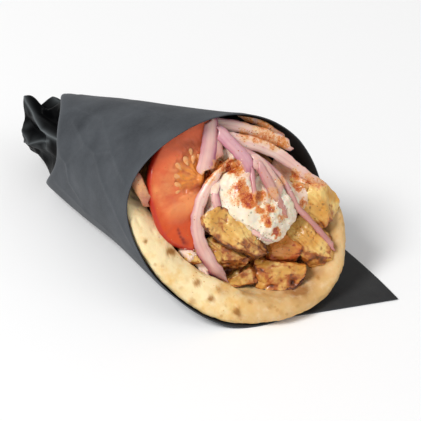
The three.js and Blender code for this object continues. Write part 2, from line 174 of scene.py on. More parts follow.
def normalsOf(mesh):
    flat = np.zeros(len(mesh.vertices) * 3, np.float32)
    mesh.vertex_normals.foreach_get("vector", flat)
    return flat.reshape(-1, 3).astype(float)


def setPoints(mesh, points):
    mesh.vertices.foreach_set("co", (points * mm).ravel())
    mesh.update()


def keepValues(mesh, **values):
    for name, value in values.items():
        layer = mesh.attributes.get(name) or mesh.attributes.new(name, "FLOAT", "POINT")
        layer.data.foreach_set("value", np.asarray(value, np.float32).ravel())


def addObject(name, data):
    made = bpy.data.objects.new(name, data)
    bpy.context.scene.collection.objects.link(made)
    return made


def finished(name, mesh, materials, slot, nodes=()):
    if mesh.materials:
        mesh.materials.clear()
    for material in materials:
        mesh.materials.append(material)
    mesh.name = name
    piece = addObject(name, mesh)
    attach(piece, "root")
    if nodes:
        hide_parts(*nodes)
    return piece


def takenFrom(holder):  # the mesh that an object's modifiers make; the object goes
    bpy.context.view_layer.update()
    graph = bpy.context.evaluated_depsgraph_get()
    mesh = bpy.data.meshes.new_from_object(
        holder.evaluated_get(graph), preserve_all_data_layers=True, depsgraph=graph)
    bpy.data.objects.remove(holder)
    return mesh


# Merged copy of a CAD node, remeshed to a fine even skin and smoothed
def fineCopy(node, voxel, rounds, near=1e-6):
    mesh = bpy.data.meshes.new(node + "_fine")
    work = bmesh.new()
    work.from_mesh(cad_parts[node].data)
    bmesh.ops.remove_doubles(work, verts=work.verts, dist=near)
    work.to_mesh(mesh)
    work.free()
    holder = addObject(node + "_work", mesh)
    remesh = holder.modifiers.new("even", "REMESH")
    remesh.mode = "VOXEL"
    remesh.voxel_size = voxel * mm
    smooth = holder.modifiers.new("soften", "SMOOTH")
    smooth.factor = 0.5
    smooth.iterations = rounds
    fine = takenFrom(holder)
    fine.shade_smooth()
    return fine


# The lying cone and the opening that faces the viewer

cone = {
    "mouthFoot": np.array([-8.8, -53.6, 0.0]), "halfAngle": rad(9.76), "mouthRadius": 49.4,
    "pressedFlat": 4.5, "pressBlend": 2.5, "gap": 0.35,
    "swells": [(1.2, 206, 60, 100, 130), (2.3, 52, 38, 215, 275)],  # height, turn, spread, from, to
    "clearOfPaper": 0.9, "pastRim": 3,  # how far the filling stays inside the paper, and until where
}
halfCos, halfSin = math.cos(cone["halfAngle"]), math.sin(cone["halfAngle"])
slope = halfSin / halfCos
apexBack = cone["mouthRadius"] / halfSin - cone["mouthRadius"] * halfSin

opening = {"at": np.array([-1.6, 0.4, 43.1]), "turn": rad(-42.6), "lift": rad(36.0)}
turnCos, turnSin = math.cos(opening["turn"]), math.sin(opening["turn"])
liftCos, liftSin = math.cos(opening["lift"]), math.sin(opening["lift"])
openingAxes = np.array([
    [turnCos, turnSin, 0.0],
    [-turnSin * liftSin, turnCos * liftSin, liftCos],
    [turnSin * liftCos, -turnCos * liftCos, liftSin],
])  # across, up the slope, outwards
openingPlace = cone["mouthFoot"] + opening["at"]


def fromOpening(points):
    return np.asarray(points, float) @ openingAxes + openingPlace


def toOpening(points):
    return (np.asarray(points, float) - openingPlace) @ openingAxes.T


def fromAxis(x, along, lift):  # from the cone's axis to the row frame
    y = apexBack - along * halfCos + lift * halfSin
    z = along * halfSin + lift * halfCos - cone["pressedFlat"]
    return np.stack(np.broadcast_arrays(x, y, z), -1) + cone["mouthFoot"]


def roundAxis(along, turn, radius, floor):  # turn 0 is underneath, a quarter turn is the left side
    points = fromAxis(-radius * np.sin(turn), along, -radius * np.cos(turn))
    blend = cone["pressBlend"]
    above = points[..., 2] - floor
    pressed = (np.clip(above, -blend, blend) + blend) ** 2 / (4 * blend)
    points[..., 2] = np.where(above >= blend, points[..., 2], floor + pressed)
    return points


def bulge(turn, height, at, spread):
    gap = turn - rad(at)
    return height * bell(np.arctan2(np.sin(gap), np.cos(gap)) / rad(spread))


def bulges(turn, sides):
    return sum(bulge(turn, *side) for side in sides)


def wallRadius(along, turn):
    swollen = sum(bulge(turn, *side) * eased(along, start, end) for *side, start, end in cone["swells"])
    return along * slope + swollen


def insideCone(along, turn, inset):
    return roundAxis(along, turn, wallRadius(along, turn) - inset, inset)


def rimAt(rim, turn):
    waves = sum(height * np.cos(count * turn - rad(at)) for count, height, at in rim["waves"])
    return rim["mean"] + rim["lean"] * np.cos(turn - rad(rim["leanAt"])) + waves


def keptInside(points):  # moves what would pierce the paper back inside it
    rel = np.asarray(points, float) - cone["mouthFoot"]
    back, high = rel[..., 1] - apexBack, rel[..., 2] + cone["pressedFlat"]
    along, lift = high * halfSin - back * halfCos, back * halfSin + high * halfCos
    radius, turn = np.hypot(rel[..., 0], lift), np.arctan2(-rel[..., 0], -lift)
    limit = wallRadius(along, turn) - cone["clearOfPaper"]
    covered = (radius > limit) & (along < rimAt(paper["rim"], turn) + cone["pastRim"])
    share = np.where(covered, limit / np.maximum(radius, 1e-6), 1.0)
    return fromAxis(rel[..., 0] * share, along, lift * share)


# Node building

class Nodes:  # adds nodes to one tree; every input is a socket or a constant

    def __init__(self, tree):
        self.tree = tree

    def add(self, kind, inputs=None, **settings):
        made = self.tree.nodes.new(kind)
        for key, value in settings.items():
            setattr(made, key, value)
        for key, value in (inputs or {}).items():
            if isinstance(value, bpy.types.NodeSocket):
                self.tree.links.new(value, made.inputs[key])
            else:
                made.inputs[key].default_value = value
        return made.outputs

    def math(self, operation, a, b=0.0, c=0.0):
        return self.add("ShaderNodeMath", {0: a, 1: b, 2: c}, operation=operation)[0]

    def plus(self, a, b):
        return self.math("ADD", a, b)

    def minus(self, a, b):
        return self.math("SUBTRACT", a, b)

    def times(self, *values):
        product = values[0]
        for value in values[1:]:
            product = self.math("MULTIPLY", product, value)
        return product

    def timesPlus(self, a, b, c):
        return self.math("MULTIPLY_ADD", a, b, c)

    def between(self, a, b, share):
        return self.timesPlus(self.minus(b, a), share, a)

    def mix(self, share, a, b, mode="MIX"):
        return self.add("ShaderNodeMix", {0: share, 6: a, 7: b}, data_type="RGBA", blend_type=mode)[2]

    def span(self, value, low, high, newLow=0.0, newHigh=1.0):
        return self.add("ShaderNodeMapRange", {0: value, 1: low, 2: high, 3: newLow, 4: newHigh},
                        clamp=True)[0]

    def vector(self, operation, a, b):
        return self.add("ShaderNodeVectorMath", {0: a, "Scale" if operation == "SCALE" else 1: b},
                        operation=operation)[0]

    def joined(self, **parts):  # a vector from its x, y and z
        return self.add("ShaderNodeCombineXYZ", {name.upper(): part for name, part in parts.items()})[0]

    def clouds(self, vector, scale, detail, roughness=0.5):
        return self.add("ShaderNodeTexNoise", {
            "Vector": vector, "Scale": scale, "Detail": detail, "Roughness": roughness})


def tint(red, green, blue):  # display values 0 to 255 as a linear colour
    shares = [v / 255 for v in (red, green, blue)]
    return tuple(s / 12.92 if s <= 0.04045 else ((s + 0.055) / 1.055) ** 2.4 for s in shares) + (1.0,)


class Group(Nodes):  # node group; an input is given by its default number or by its kind

    def __init__(self, name, kind, inputs, outputs):
        super().__init__(bpy.data.node_groups.new(name, kind))
        numbers = {float: "Float", int: "Int"}
        for label, value in inputs.items():
            socket = "NodeSocket" + numbers.get(type(value), str(value))
            made = self.tree.interface.new_socket(name=label, in_out="INPUT", socket_type=socket)
            if type(value) in numbers:
                made.default_value = value
        for label, value in outputs.items():
            self.tree.interface.new_socket(name=label, in_out="OUTPUT", socket_type="NodeSocket" + value)
        self.given = self.tree.nodes.new("NodeGroupInput").outputs
        self.ends = self.tree.nodes.new("NodeGroupOutput").inputs

    def give(self, **results):
        for label, socket in results.items():
            self.tree.links.new(socket, self.ends[label])

    def geometry(self, kind, inputs=None, **settings):
        return self.add("GeometryNode" + kind, inputs, **settings)[0]

    def kept(self, name, kind="FLOAT"):
        return self.geometry("InputNamedAttribute", {"Name": name}, data_type=kind)

    def keep(self, geometry, kind="FLOAT", **values):
        for name, value in values.items():
            inputs = {"Geometry": geometry, "Name": name, "Value": value}
            geometry = self.geometry("StoreNamedAttribute", inputs, data_type=kind, domain="POINT")
        return geometry

    def position(self):
        return self.geometry("InputPosition")

    def spot(self):
        return self.add("ShaderNodeSeparateXYZ", {0: self.position()})

    def dressed(self, geometry):
        whole = self.geometry("RealizeInstances", {"Geometry": geometry})
        return self.geometry("SetMaterial", {"Geometry": whole, "Material": self.given["Finish"]})


def grown(mesh, group, values):  # what a geometry group makes of a mesh
    holder = addObject(mesh.name, mesh)
    modifier = holder.modifiers.new("grow", "NODES")
    modifier.node_group = group.tree
    for socket in group.tree.interface.items_tree:
        if socket.in_out == "INPUT" and socket.name in values:
            modifier[socket.identifier] = values[socket.name]
    return takenFrom(holder)


# Uneven tone at two sizes with a fine tooth, for breads, meats and paper
def makeGrainGroup():
    group = Group("unevenGrain", "ShaderNodeTree",
                  {"Vector": "Vector", "Patch Scale": 90.0, "Grain Scale": 700.0},
                  {"Patch": "Float", "Grain": "Float", "Height": "Float"})
    given = group.given
    patch = group.clouds(given["Vector"], given["Patch Scale"], 5.0, 0.6)["Fac"]
    grain = group.clouds(given["Vector"], given["Grain Scale"], 4.0, 0.65)["Fac"]
    group.give(Patch=group.span(patch, 0.3, 0.7), Grain=group.span(grain, 0.25, 0.75),
               Height=group.timesPlus(patch, 0.5, grain))
    return group


# Scattered dots in some of the cells of a random mosaic
def makeSpeckGroup():
    group = Group("scatteredSpecks", "ShaderNodeTree",
                  {"Vector": "Vector", "Scale": 500.0, "Amount": 0.2, "Size": 0.3}, {"Specks": "Float"})
    given = group.given
    wobble = group.vector("SCALE", group.clouds(given["Vector"], given["Scale"], 2.0)["Color"], 0.0012)
    moved = group.vector("ADD", given["Vector"], wobble)
    cells = group.add("ShaderNodeTexVoronoi", {"Vector": moved, "Scale": given["Scale"]})
    chance = group.add("ShaderNodeSeparateColor", {0: cells["Color"]})
    chosen = group.math("LESS_THAN", chance[0], given["Amount"])
    reach = group.times(given["Size"], group.plus(chance[1], 0.4))
    near = group.span(cells["Distance"], reach, group.times(reach, 0.5))
    group.give(Specks=group.times(chosen, near))
    return group


paprika = {
    "halo": tint(244, 206, 138), "light": tint(234, 164, 108), "gold": tint(224, 136, 50),
    "middle": tint(206, 86, 26), "deep": tint(164, 48, 11), "brokenSize": 520.0, "patchSize": 230.0,
    "reach": (0.3, 1.2), "wobble": 0.4, "wobbleSize": 0.6, "fray": [(0.25, 1.2, 6, 1)],  # the edge of a stain
    "stains": [  # across, up, radius, strength, in the opening's frame
        (0.2, 15.5, 4.8, 1.0), (4.6, 9.2, 5.2, 1.0), (9.0, 11.6, 3.6, 0.8), (-3.5, 26.4, 5.4, 0.9),
        (13.7, -1.0, 3.0, 0.9), (17.3, -5.9, 2.9, 1.0), (9.5, 4.5, 3.2, 0.7), (29.0, 16.5, 3.0, 0.85),
        (31.0, 8.5, 2.6, 0.7), (14.0, 41.5, 6.0, 0.6), (20.5, 38.0, 4.5, 0.85), (9.0, 45.0, 5.0, 0.45),
        (12.0, 47.5, 5.0, 0.75), (4.0, 50.0, 5.0, 0.6), (11.5, 1.5, 3.4, 0.6), (28.0, 22.5, 3.4, 0.6),
        (16.0, 13.0, 4.5, 0.4), (20.0, 19.0, 4.0, 0.42), (14.5, 5.5, 3.4, 0.6), (34.5, 20.0, 3.5, 0.6),
        (20.5, 1.0, 3.0, 0.45), (-10.5, 26.0, 4.0, 0.8), (-15.5, 21.0, 4.0, 0.8), (40.0, 18.5, 4.0, 0.45),
        (35.0, 19.0, 3.6, 0.5), (-2.0, 11.0, 6.0, 0.42), (-14.5, 22.0, 3.0, 0.4), (-48.0, 15.0, 8.0, 0.35),
        (2.0, 41.5, 4.5, 0.5), (9.0, 39.5, 4.5, 0.6), (16.0, 37.0, 4.0, 0.6)],
}


# Paprika soaked into a surface where the stain value is high, broken up by noise
def makePaprikaGroup():
    group = Group("paprikaStain", "ShaderNodeTree", {"Vector": "Vector", "Stain": 0.0, "Base": "Color"},
                  {"Color": "Color"})
    given, span, mix = group.given, group.span, group.mix
    broken = group.clouds(given["Vector"], paprika["brokenSize"], 5.0, 0.7)["Fac"]
    patch = group.clouds(given["Vector"], paprika["patchSize"], 3.0)["Fac"]
    mask = span(group.times(given["Stain"], span(broken, 0.34, 0.58, 0.3, 1.2)), 0.12, 0.8)
    oil = group.times(given["Stain"], span(patch, 0.35, 0.65, 0.5, 1.3))
    halo = mix(span(oil, 0.04, 0.45, 0.0, 0.7), given["Base"], paprika["halo"])
    light = mix(span(mask, 0.0, 0.4), halo, paprika["light"])
    oily = mix(span(patch, 0.42, 0.58), paprika["gold"], paprika["middle"])
    middle = mix(span(mask, 0.25, 0.7), light, oily)
    strong = group.times(span(mask, 0.7, 1.0), span(patch, 0.4, 0.62))
    group.give(Color=mix(strong, middle, paprika["deep"]))
    return group


grainGroup, speckGroup, paprikaGroup = makeGrainGroup(), makeSpeckGroup(), makePaprikaGroup()


def stainAt(place):
    total = np.zeros(len(place))
    for x, y, radius, strength in paprika["stains"]:
        away = awayFrom(place, x, y) / radius
        near = away < 2
        wobble = 1 + paprika["wobble"] * softNoise(place[near], radius * paprika["wobbleSize"], 2)
        frayed = away[near] / (wobble + layered(place[near], paprika["fray"]))
        total[near] = np.maximum(total[near], strength * (1 - eased(frayed, *paprika["reach"])))
    return total


# One material with its shader, object coordinates and the shared effects. Its surface says the sizes of the
# grain, the range of roughness and the strength and depth of the relief.
class Finish(Nodes):

    def __init__(self, name, surface=None, **constants):
        self.material = bpy.data.materials.new(name)
        self.material.use_nodes = True
        super().__init__(self.material.node_tree)
        self.shader = self.tree.nodes["Principled BSDF"].inputs
        for key, value in constants.items():
            self.shader[key.replace("_", " ")].default_value = value
        self.place = self.add("ShaderNodeTexCoord")["Object"]
        self.surface = surface
        if surface:
            patchScale, grainScale = surface["grain"]
            self.grain = self.effect(grainGroup, {"Patch Scale": patchScale, "Grain Scale": grainScale})

    def effect(self, group, inputs):
        return self.add("ShaderNodeGroup", {"Vector": self.place, **inputs}, node_tree=group.tree)

    def value(self, name):
        return self.add("ShaderNodeAttribute", attribute_name=name)["Fac"]

    def specks(self, scale, amount, size):
        return self.effect(speckGroup, {"Scale": scale, "Amount": amount, "Size": size})["Specks"]

    def stained(self, base):
        return self.effect(paprikaGroup, {"Stain": self.value("stain"), "Base": base})["Color"]

    def noise(self, scale, detail=3.0, stretch=None):
        place = self.place
        if stretch:
            place = self.add("ShaderNodeMapping", {"Vector": place, "Scale": stretch})[0]
        return self.clouds(place, scale, detail)["Fac"]

    def washed(self, colour, *coats):  # tones laid over a colour, each by a kept value and its strength
        for name, strength, tone in coats:
            colour = self.mix(self.times(self.value(name), strength), colour, tone)
        return colour

    def finish(self, colour, height=None, coat=None, roughness=None):
        links = self.tree.links
        links.new(colour, self.shader["Base Color"])
        if self.surface:
            height = height or self.grain["Height"]
            roughness = roughness or self.span(self.grain["Grain"], 0, 1, *self.surface["rough"])
            strength, depth = self.surface["bump"]
            bump = self.add("ShaderNodeBump", {"Height": height, "Strength": strength, "Distance": depth})
            links.new(bump[0], self.shader["Normal"])
        links.new(roughness, self.shader["Roughness"])
        if coat:
            links.new(coat, self.shader["Coat Weight"])
        return self.material


print("helpers ready")


# Paper: slate outside, darker inside, rolled once round with a flat flap

paper = {
    "thickness": 0.5, "lap": 0.85, "lapFrom": rad(250), "lapTo": rad(330), "end": rad(352),
    "rim": {"mean": 281.1, "lean": 25.7, "leanAt": -37.9, "waves": [(2, 8.8, 19.4), (3, 1.1, 63.4)]},
    "back": 147, "dips": [(28, 112, 46), (7.4, 163, 27), (1.4, 110, 18), (-11, 215, 60)],
    "flap": np.array([[50.9, -59.3, 0], [73.3, 23.9, 0], [68, 75, 0], [7, 136, 0]]),
    "flapColumns": 56, "roundColumns": 250, "rows": 110, "flapLift": 0.5, "hem": 0.4, "hemWide": 2.2,
    "dents": 0.8, "fold": (0.6, 34.0, 5), "sway": [(0.5, 60.0, 9, 1)], "deepest": -0.35,
    "clear": (1.0, 9.0),  # no dents where it lies on the table
    # creases take wear and a painted highlight, and the back edge takes a painted highlight line
    "creaseWorn": 0.16, "edgeWorn": 0.35,
    "creases": [  # places as (turn, along), height, width
        ([(150, 178), (134, 199), (130, 211), (137, 224), (126, 237), (121, 246)], 0.55, 1.5),
        ([(116, 180), (111, 188), (96, 191), (88, 200)], 0.7, 1.1), ([(134, 199), (111, 188)], 0.4, 1.2),
        ([(130, 211), (112, 226), (100, 240), (84, 253)], 0.5, 1.6),
        ([(84, 176), (74, 207), (72, 236)], 0.35, 1.6),
        ([(168, 168), (160, 200), (137, 224)], 0.3, 2.0), ([(205, 150), (220, 210), (236, 258)], 0.4, 2.0),
        ([(262, 160), (244, 230)], 0.4, 1.8), ([(285, 170), (300, 240)], 0.4, 1.8),
        ([(190, 190), (176, 250)], 0.3, 2.2)],
    "dimples": [((147, 189), -0.7, 3.4), ((103, 214), -0.5, 6.0), ((118, 262), 0.4, 7.0),
                ((176, 226), -0.4, 8.0)],
    "grain": (34.0, 1500.0), "bump": (0.22, 0.00012), "fibre": (900.0, 4.0, (1.0, 0.25, 1.0)),
    "outside": tint(44, 48, 53), "outsidePale": tint(77, 81, 86), "inside": tint(40, 40, 41),
    "insidePale": tint(58, 58, 58), "worn": tint(128, 132, 136),
}


def paperBackAt(turn):
    return paper["back"] + bulges(turn, paper["dips"])


def laid(places, spread):  # places on the rolled paper, as degrees and along, in the unrolled sheet
    return [np.array([rad(degrees) * spread(along), along]) for degrees, along in places]


# Soft folds, pressed creases and dimples, outwards, and the wear and painted highlight along the creases
def paperDents(turn, along):
    def spread(reach):
        return reach * slope

    solid = onPlane(turn * spread(along), along)
    flat = solid[..., :2]
    height, size, seed = paper["fold"]
    folds = height * (1 - 2 * np.abs(softNoise(solid, size, seed))) + layered(solid, paper["sway"])
    waves = paper["dents"] * (0.4 + folds)
    worn = np.zeros(waves.shape)
    for places, height, width in paper["creases"]:
        away = awayFromLine(flat, laid(places, spread))
        waves = waves + height * (np.exp(-away / width) - 0.45 * bell(away / (6 * width)))
        worn = np.maximum(worn, height * np.exp(-away / 0.5))
    for place, height, radius in paper["dimples"]:
        waves = waves + height * bell(awayFrom(flat, *laid([place], spread)[0]) / radius)
    return np.maximum(waves, paper["deepest"]), worn


def buildPaperSheet():
    share = np.linspace(0, 1, paper["rows"] + 1)[:, None]
    turn = np.linspace(0, paper["end"], paper["roundColumns"] + 1)[None, :]
    along = mixed(paperBackAt(turn), rimAt(paper["rim"], turn), share)
    turn = np.broadcast_to(turn, along.shape)
    clear = eased(insideCone(along, turn, 0.0)[..., 2], *paper["clear"])
    fromBack = along - paperBackAt(turn)
    dents, worn = paperDents(turn, along)
    # painted highlight along the creases and along the back edge, as a lighter tone
    worn = paper["creaseWorn"] * worn + paper["edgeWorn"] * np.exp(-fromBack / 0.7)
    lap = paper["lap"] * eased(turn, paper["lapFrom"], paper["lapTo"])
    inset = lap + clear * (paper["hem"] * bell(fromBack / paper["hemWide"]) - dents)
    t = 1 - share
    weights = np.stack([share ** 3, 3 * t * share ** 2, 3 * t * t * share, t ** 3], -1)
    free = weights @ paper["flap"] + cone["mouthFoot"]
    reach = np.linspace(0, 1, paper["flapColumns"] + 1)[None, :-1, None]

    def face(depth):
        body = insideCone(along, turn, inset + depth)
        foot = body[:, :1]
        edge = free.copy()
        edge[..., 2] = foot[..., 2]
        flap = mixed(edge, foot, reach)
        ripple = 0.6 + 0.4 * softNoise(flap * [1, 1, 0], 26.0, 3)
        flap[..., 2] += paper["flapLift"] * (1 - reach[..., 0]) ** 2 * ripple
        return np.concatenate([flap, body], 1)

    mesh = slabMesh("paper_sheet", face(0.0), face(paper["thickness"]), lined=True)
    worn = np.pad(worn, ((0, 0), (paper["flapColumns"], 0)))
    keepValues(mesh, worn=[worn, worn])
    return mesh


def paperFinish(name, dark, pale, roughness, sheen, worn=None):
    look = Finish(name, {**paper, "rough": (roughness - 0.08, roughness + 0.08)}, Specular_IOR_Level=sheen)
    fibre = look.noise(*paper["fibre"])
    colour = look.mix(look.span(fibre, 0.3, 0.7, 0.0, 0.16), look.mix(look.grain["Patch"], dark, pale), pale)
    # the lighter tone where highlights are painted on creases, ridges and edges
    if worn:
        colour = look.mix(look.value("worn"), colour, worn)
    return look.finish(colour, look.plus(look.grain["Height"], fibre))


paperOutside = paperFinish("paperOutside", paper["outside"], paper["outsidePale"], 0.6, 0.35, paper["worn"])
paperInside = paperFinish("paperInside", paper["inside"], paper["insidePale"], 0.62, 0.25)
finished("paper_sheet", buildPaperSheet(), [paperOutside, paperInside], "paper", ["paper_wrap"])

tail = {
    "front": 188, "end": 118.5, "rounding": 10, "radius": 14, "taper": 0.11, "sinkOver": 20, "margin": 8,
    "under": 1.1, "lobe": (8.0, 161, 21), "lobeAlong": 123, "lobeReach": 4.6, "rise": 5.2, "riseUntil": 168,
    "columns": 320, "rows": 200, "unroll": 15.0, "crumple": [(0.5, 11.0, 21, 1)],
    "folds": [(4, 0.05, 0.27, 0.4), (9, 0.05, -0.12, 1.1),
              (17, 0.025, 0.09, 0.3)],  # count, depth, twist, phase
    "calm": (0.7, 125, 62),  # share, turn and spread of the side with fewer pleats
    # ridges raise the crumple, and their crests carry a painted highlight
    "ridges": [  # places as (turn, along), height, width
        ([(163, 121), (147, 130), (135, 138), (126, 145), (127, 152), (128, 162)], 3.2, 1.5),
        ([(70, 124), (92, 138), (106, 145), (119, 156)], 2.0, 1.6),
        ([(100, 122), (96, 132), (92, 138)], 1.4, 1.6),
        ([(215, 122), (208, 130), (204, 138)], 1.6, 1.8), ([(256, 124), (240, 140), (250, 160)], 2.6, 1.8),
        ([(300, 126), (286, 142), (296, 160)], 2.4, 1.8), ([(20, 126), (6, 142), (14, 158)], 2.0, 1.8)],
    "valleys": [
        ([(160, 132), (156, 142), (150, 160)], 4.6, 4.2), ([(128, 126), (116, 134), (113, 148)], 4.0, 3.2),
        ([(74, 140), (82, 152), (88, 160)], 1.6, 3.0), ([(184, 121), (190, 128), (192, 134)], 6.0, 3.6),
        ([(236, 132), (228, 150)], 2.6, 3.2), ([(276, 132), (268, 150)], 2.6, 3.2),
        ([(330, 134), (320, 150)], 2.0, 3.2)],
    # lit facets: painted highlight, a lighter tone on the facets that face the lamp
    "lit": [((100, 150), 4.0, 0.3), ((90, 141), 3.6, 0.25), ((145, 126), 2.0, 0.22), ((138, 133), 2.0, 0.22),
            ((112, 128), 2.5, 0.16)],  # place, radius, strength
    # near-black base: painted shade of the twist's folds; the lighter tone is painted highlight
    "dark": tint(2, 2, 3), "pale": tint(8, 9, 10), "worn": tint(108, 113, 115),
}


def zigzag(value):
    share = value / (2 * math.pi)
    return 1 - 4 * np.abs(share - np.floor(share + 0.5))


def buildTail():
    along = mixed(tail["end"], tail["front"], np.linspace(0, 1, tail["rows"] + 1)[:, None] ** 1.3)
    turn = np.linspace(0, 2 * math.pi, tail["columns"], endpoint=False)[None, :]
    fromEnd, fromBack = along - tail["end"], paperBackAt(turn) - along
    wall = wallRadius(along, turn) - tail["under"]
    waist = tail["radius"] + tail["taper"] * fromEnd
    free = eased(fromBack + tail["margin"], 0, tail["sinkOver"])
    lobe = bulge(turn, *tail["lobe"]) * bell((along - tail["lobeAlong"]) / tail["lobeReach"])
    folds = sum(depth * zigzag(n * turn + twist * along + phase) for n, depth, twist, phase in tail["folds"])
    folds = folds * (1 - bulge(turn, *tail["calm"]))
    solid = onPlane(turn * tail["unroll"], along)
    flat = solid[..., :2]

    def spread(reach):
        return tail["unroll"]

    crumple, worn = layered(solid, tail["crumple"]), np.zeros(flat.shape[:2])
    for places, height, width in tail["ridges"]:
        away = awayFromLine(flat, laid(places, spread))
        crumple += height * np.exp(-away / width)
        # painted highlight along each ridge crest and on the lit facets
        worn = np.maximum(worn, height / 3.2 * np.exp(-away / 0.7))
    for place, radius, strength in tail["lit"]:
        worn = np.maximum(worn, strength * bell(awayFrom(flat, *laid([place], spread)[0]) / radius))
    for places, depth, width in tail["valleys"]:
        crumple -= depth * bell(awayFromLine(flat, laid(places, spread)) / width)
    crumple *= eased(fromEnd, -4, 10) * eased(fromBack + 3, 0, 9)
    end = np.sqrt(1 - (1 - np.minimum(1, fromEnd / tail["rounding"])) ** 2)
    radius = mixed(wall, waist * (1 + folds) + lobe + crumple, free) * end
    points = roundAxis(along, turn, np.maximum(radius, 0), 0.0)
    raised = 1 - eased(along, tail["end"], tail["riseUntil"])
    points[..., 2] += tail["rise"] * raised * eased(fromBack + 1, 0, 14)
    rows, columns = points.shape[:2]
    last = (rows - 1) * columns + np.arange(columns)
    fan = np.stack([last, np.full(columns, rows * columns), np.roll(last, -1)], -1)
    faces = gridQuads(rows, columns, wrap=True).tolist() + fan.tolist()
    mesh = meshFrom("paper_tail", np.concatenate([points.reshape(-1, 3), points[-1].mean(0)[None]]), faces)
    keepValues(mesh, worn=np.append(worn.ravel(), 0.0))
    return welded(mesh)


# the twist's near-black colour is painted shade, and its pale marks are painted highlight
paperTwist = paperFinish("paperTwist", tail["dark"], tail["pale"], 0.46, 0.05, tail["worn"])
finished("paper_tail", buildTail(), [paperTwist], "paper")
print("paper made")


# Pita: a thick soft bread bent to a trough, with toasted spots

pita = {
    "thickness": 8.0, "rounding": 4.5, "lips": [(5.5, 66, 48), (6.0, 36, 20), (3.6, 86, 24)],
    "lipUntil": (6, 36),
    "rise": (4.0, 98, 20),  # the left end stands out further
    "rim": {"mean": 281.6, "lean": 38.2, "leanAt": -37.4,
            "waves": [(2, 4.4, 40.6), (5, 0.8, 55.6), (9, 0.5, -30.3)]},
    "back": 196, "middle": rad(14.5), "halfTurn": rad(89.5), "halfGain": rad(40),
    "lapOver": (rad(-8), rad(15)),
    "edgeRows": 16, "rows": 100, "edgeColumns": 12, "columns": 150,
    "backEdge": np.array([0.5, 0.2, 0.05, 0.0]),
    "puff": 0.55, "inset": 0.15, "swell": [(0.1, 18.0, 7, 2)],
    "lumps": [(0.35, 9.0, 31, 3), (0.16, 2.6, 8, 2)],
    "pores": 0.45, "poreSize": 2.0, "juiceNoise": [(0.6, 3.5, 27, 2)],
    "bubbles": {"seed": 12, "count": 34, "turns": (-1.1, 1.5), "back": (0, 18), "depths": [5.0, 10.0],
                "sizes": (2.5, 6.5), "heights": (-0.2, 0.7)},
    "spots": [  # across, up, radius, darkness, in the opening's frame
        (-45.9, -10.3, 1.6, 0.8), (-33.7, -15.6, 3.2, 0.95), (-21.0, -30.3, 2.4, 0.8),
        (-14.2, -38.1, 2.3, 0.85),
        (-1.5, -44.4, 3.5, 0.9), (-23.4, -39.6, 2.2, 0.55), (4.9, -39.6, 1.7, 0.5), (-10.3, -33.7, 1.7, 0.6),
        (14.2, -42.5, 1.4, 0.55), (39.1, -28.8, 1.5, 0.7), (-29, -33, 1.3, 0.3), (28, -42, 1.2, 0.35),
        (-38, -22, 1.1, 0.35), (-7, -41.5, 1.1, 0.4), (46, -18, 1.2, 0.4), (20, -45, 1.6, 0.3)],
    "juices": [  # across, up, radius, strength: bread browned by what lies on it, and painted shadow under the pieces
        (30.0, -31.5, 6.0, 0.6), (37.0, -24.5, 6.0, 0.55), (45.0, -15.0, 5.0, 0.45), (14.0, -35.0, 6.0, 0.3),
        (2.0, -34.5, 5.0, 0.4), (-9.0, -32.5, 5.0, 0.45), (24.0, -34.0, 6.0, 0.5), (-28.0, -18.0, 5.0, 0.3),
        (29.5, -35.0, 3.4, 0.85)],
    "grain": (75.0, 620.0), "rough": (0.55, 0.8), "bump": (0.4, 0.0004),
    "crumb": tint(250, 228, 178), "golden": tint(236, 190, 112), "toast": tint(180, 122, 52),
    "char": tint(112, 66, 24), "flour": tint(252, 238, 208), "edge": tint(150, 104, 56),
    # painted shade for the right side of the bread
    "tan": tint(216, 174, 122),
    "juice": tint(150, 92, 40),
}


def edgeSteps(rounding, length, bend, count):
    over = rounding * (1 - np.cos(np.linspace(0, math.pi / 2, bend + 1)))
    return np.concatenate([over, np.linspace(rounding, length, count + 1)[1:]])


def pitaShape():
    rounding = pita["rounding"]
    depth = pita["rim"]["mean"] - pita["back"]
    halfWidth = pita["halfTurn"] * cone["mouthRadius"]
    rows = edgeSteps(rounding, depth - rounding, pita["edgeRows"], pita["rows"])
    rows = np.concatenate([rows, depth - rounding * pita["backEdge"]])[:, None]
    half = edgeSteps(rounding, halfWidth, pita["edgeColumns"], pita["columns"] // 2)
    columns = np.concatenate([half, 2 * halfWidth - half[-2::-1]])[None, :]
    share = rows / depth
    turn = pita["middle"] + (pita["halfTurn"] + pita["halfGain"] * np.sqrt(share)) * (columns / halfWidth - 1)
    along = mixed(rimAt(pita["rim"], turn) + bulge(turn, *pita["rise"]), pita["back"], share)
    lap = paper["lap"] * (1 - eased(turn, *pita["lapOver"]))
    side = np.minimum(columns, 2 * halfWidth - columns)
    nearest = np.minimum(np.minimum(rows, side), np.minimum(depth - rows, rounding))
    full = np.sqrt(np.clip(1 - (1 - nearest / rounding) ** 2, 0, 1))
    thick = pita["thickness"] + bulges(turn, pita["lips"]) * (1 - eased(rows, *pita["lipUntil"]))
    middle = paper["thickness"] + lap + cone["gap"] + thick / 2
    puff = 1 + layered(onPlane(turn * 40, along), pita["swell"])
    upper, lower = middle + thick / 2 * full * puff, middle - thick / 2 * full
    return welded(slabMesh("pita", insideCone(along, turn, upper), insideCone(along, turn, lower)))


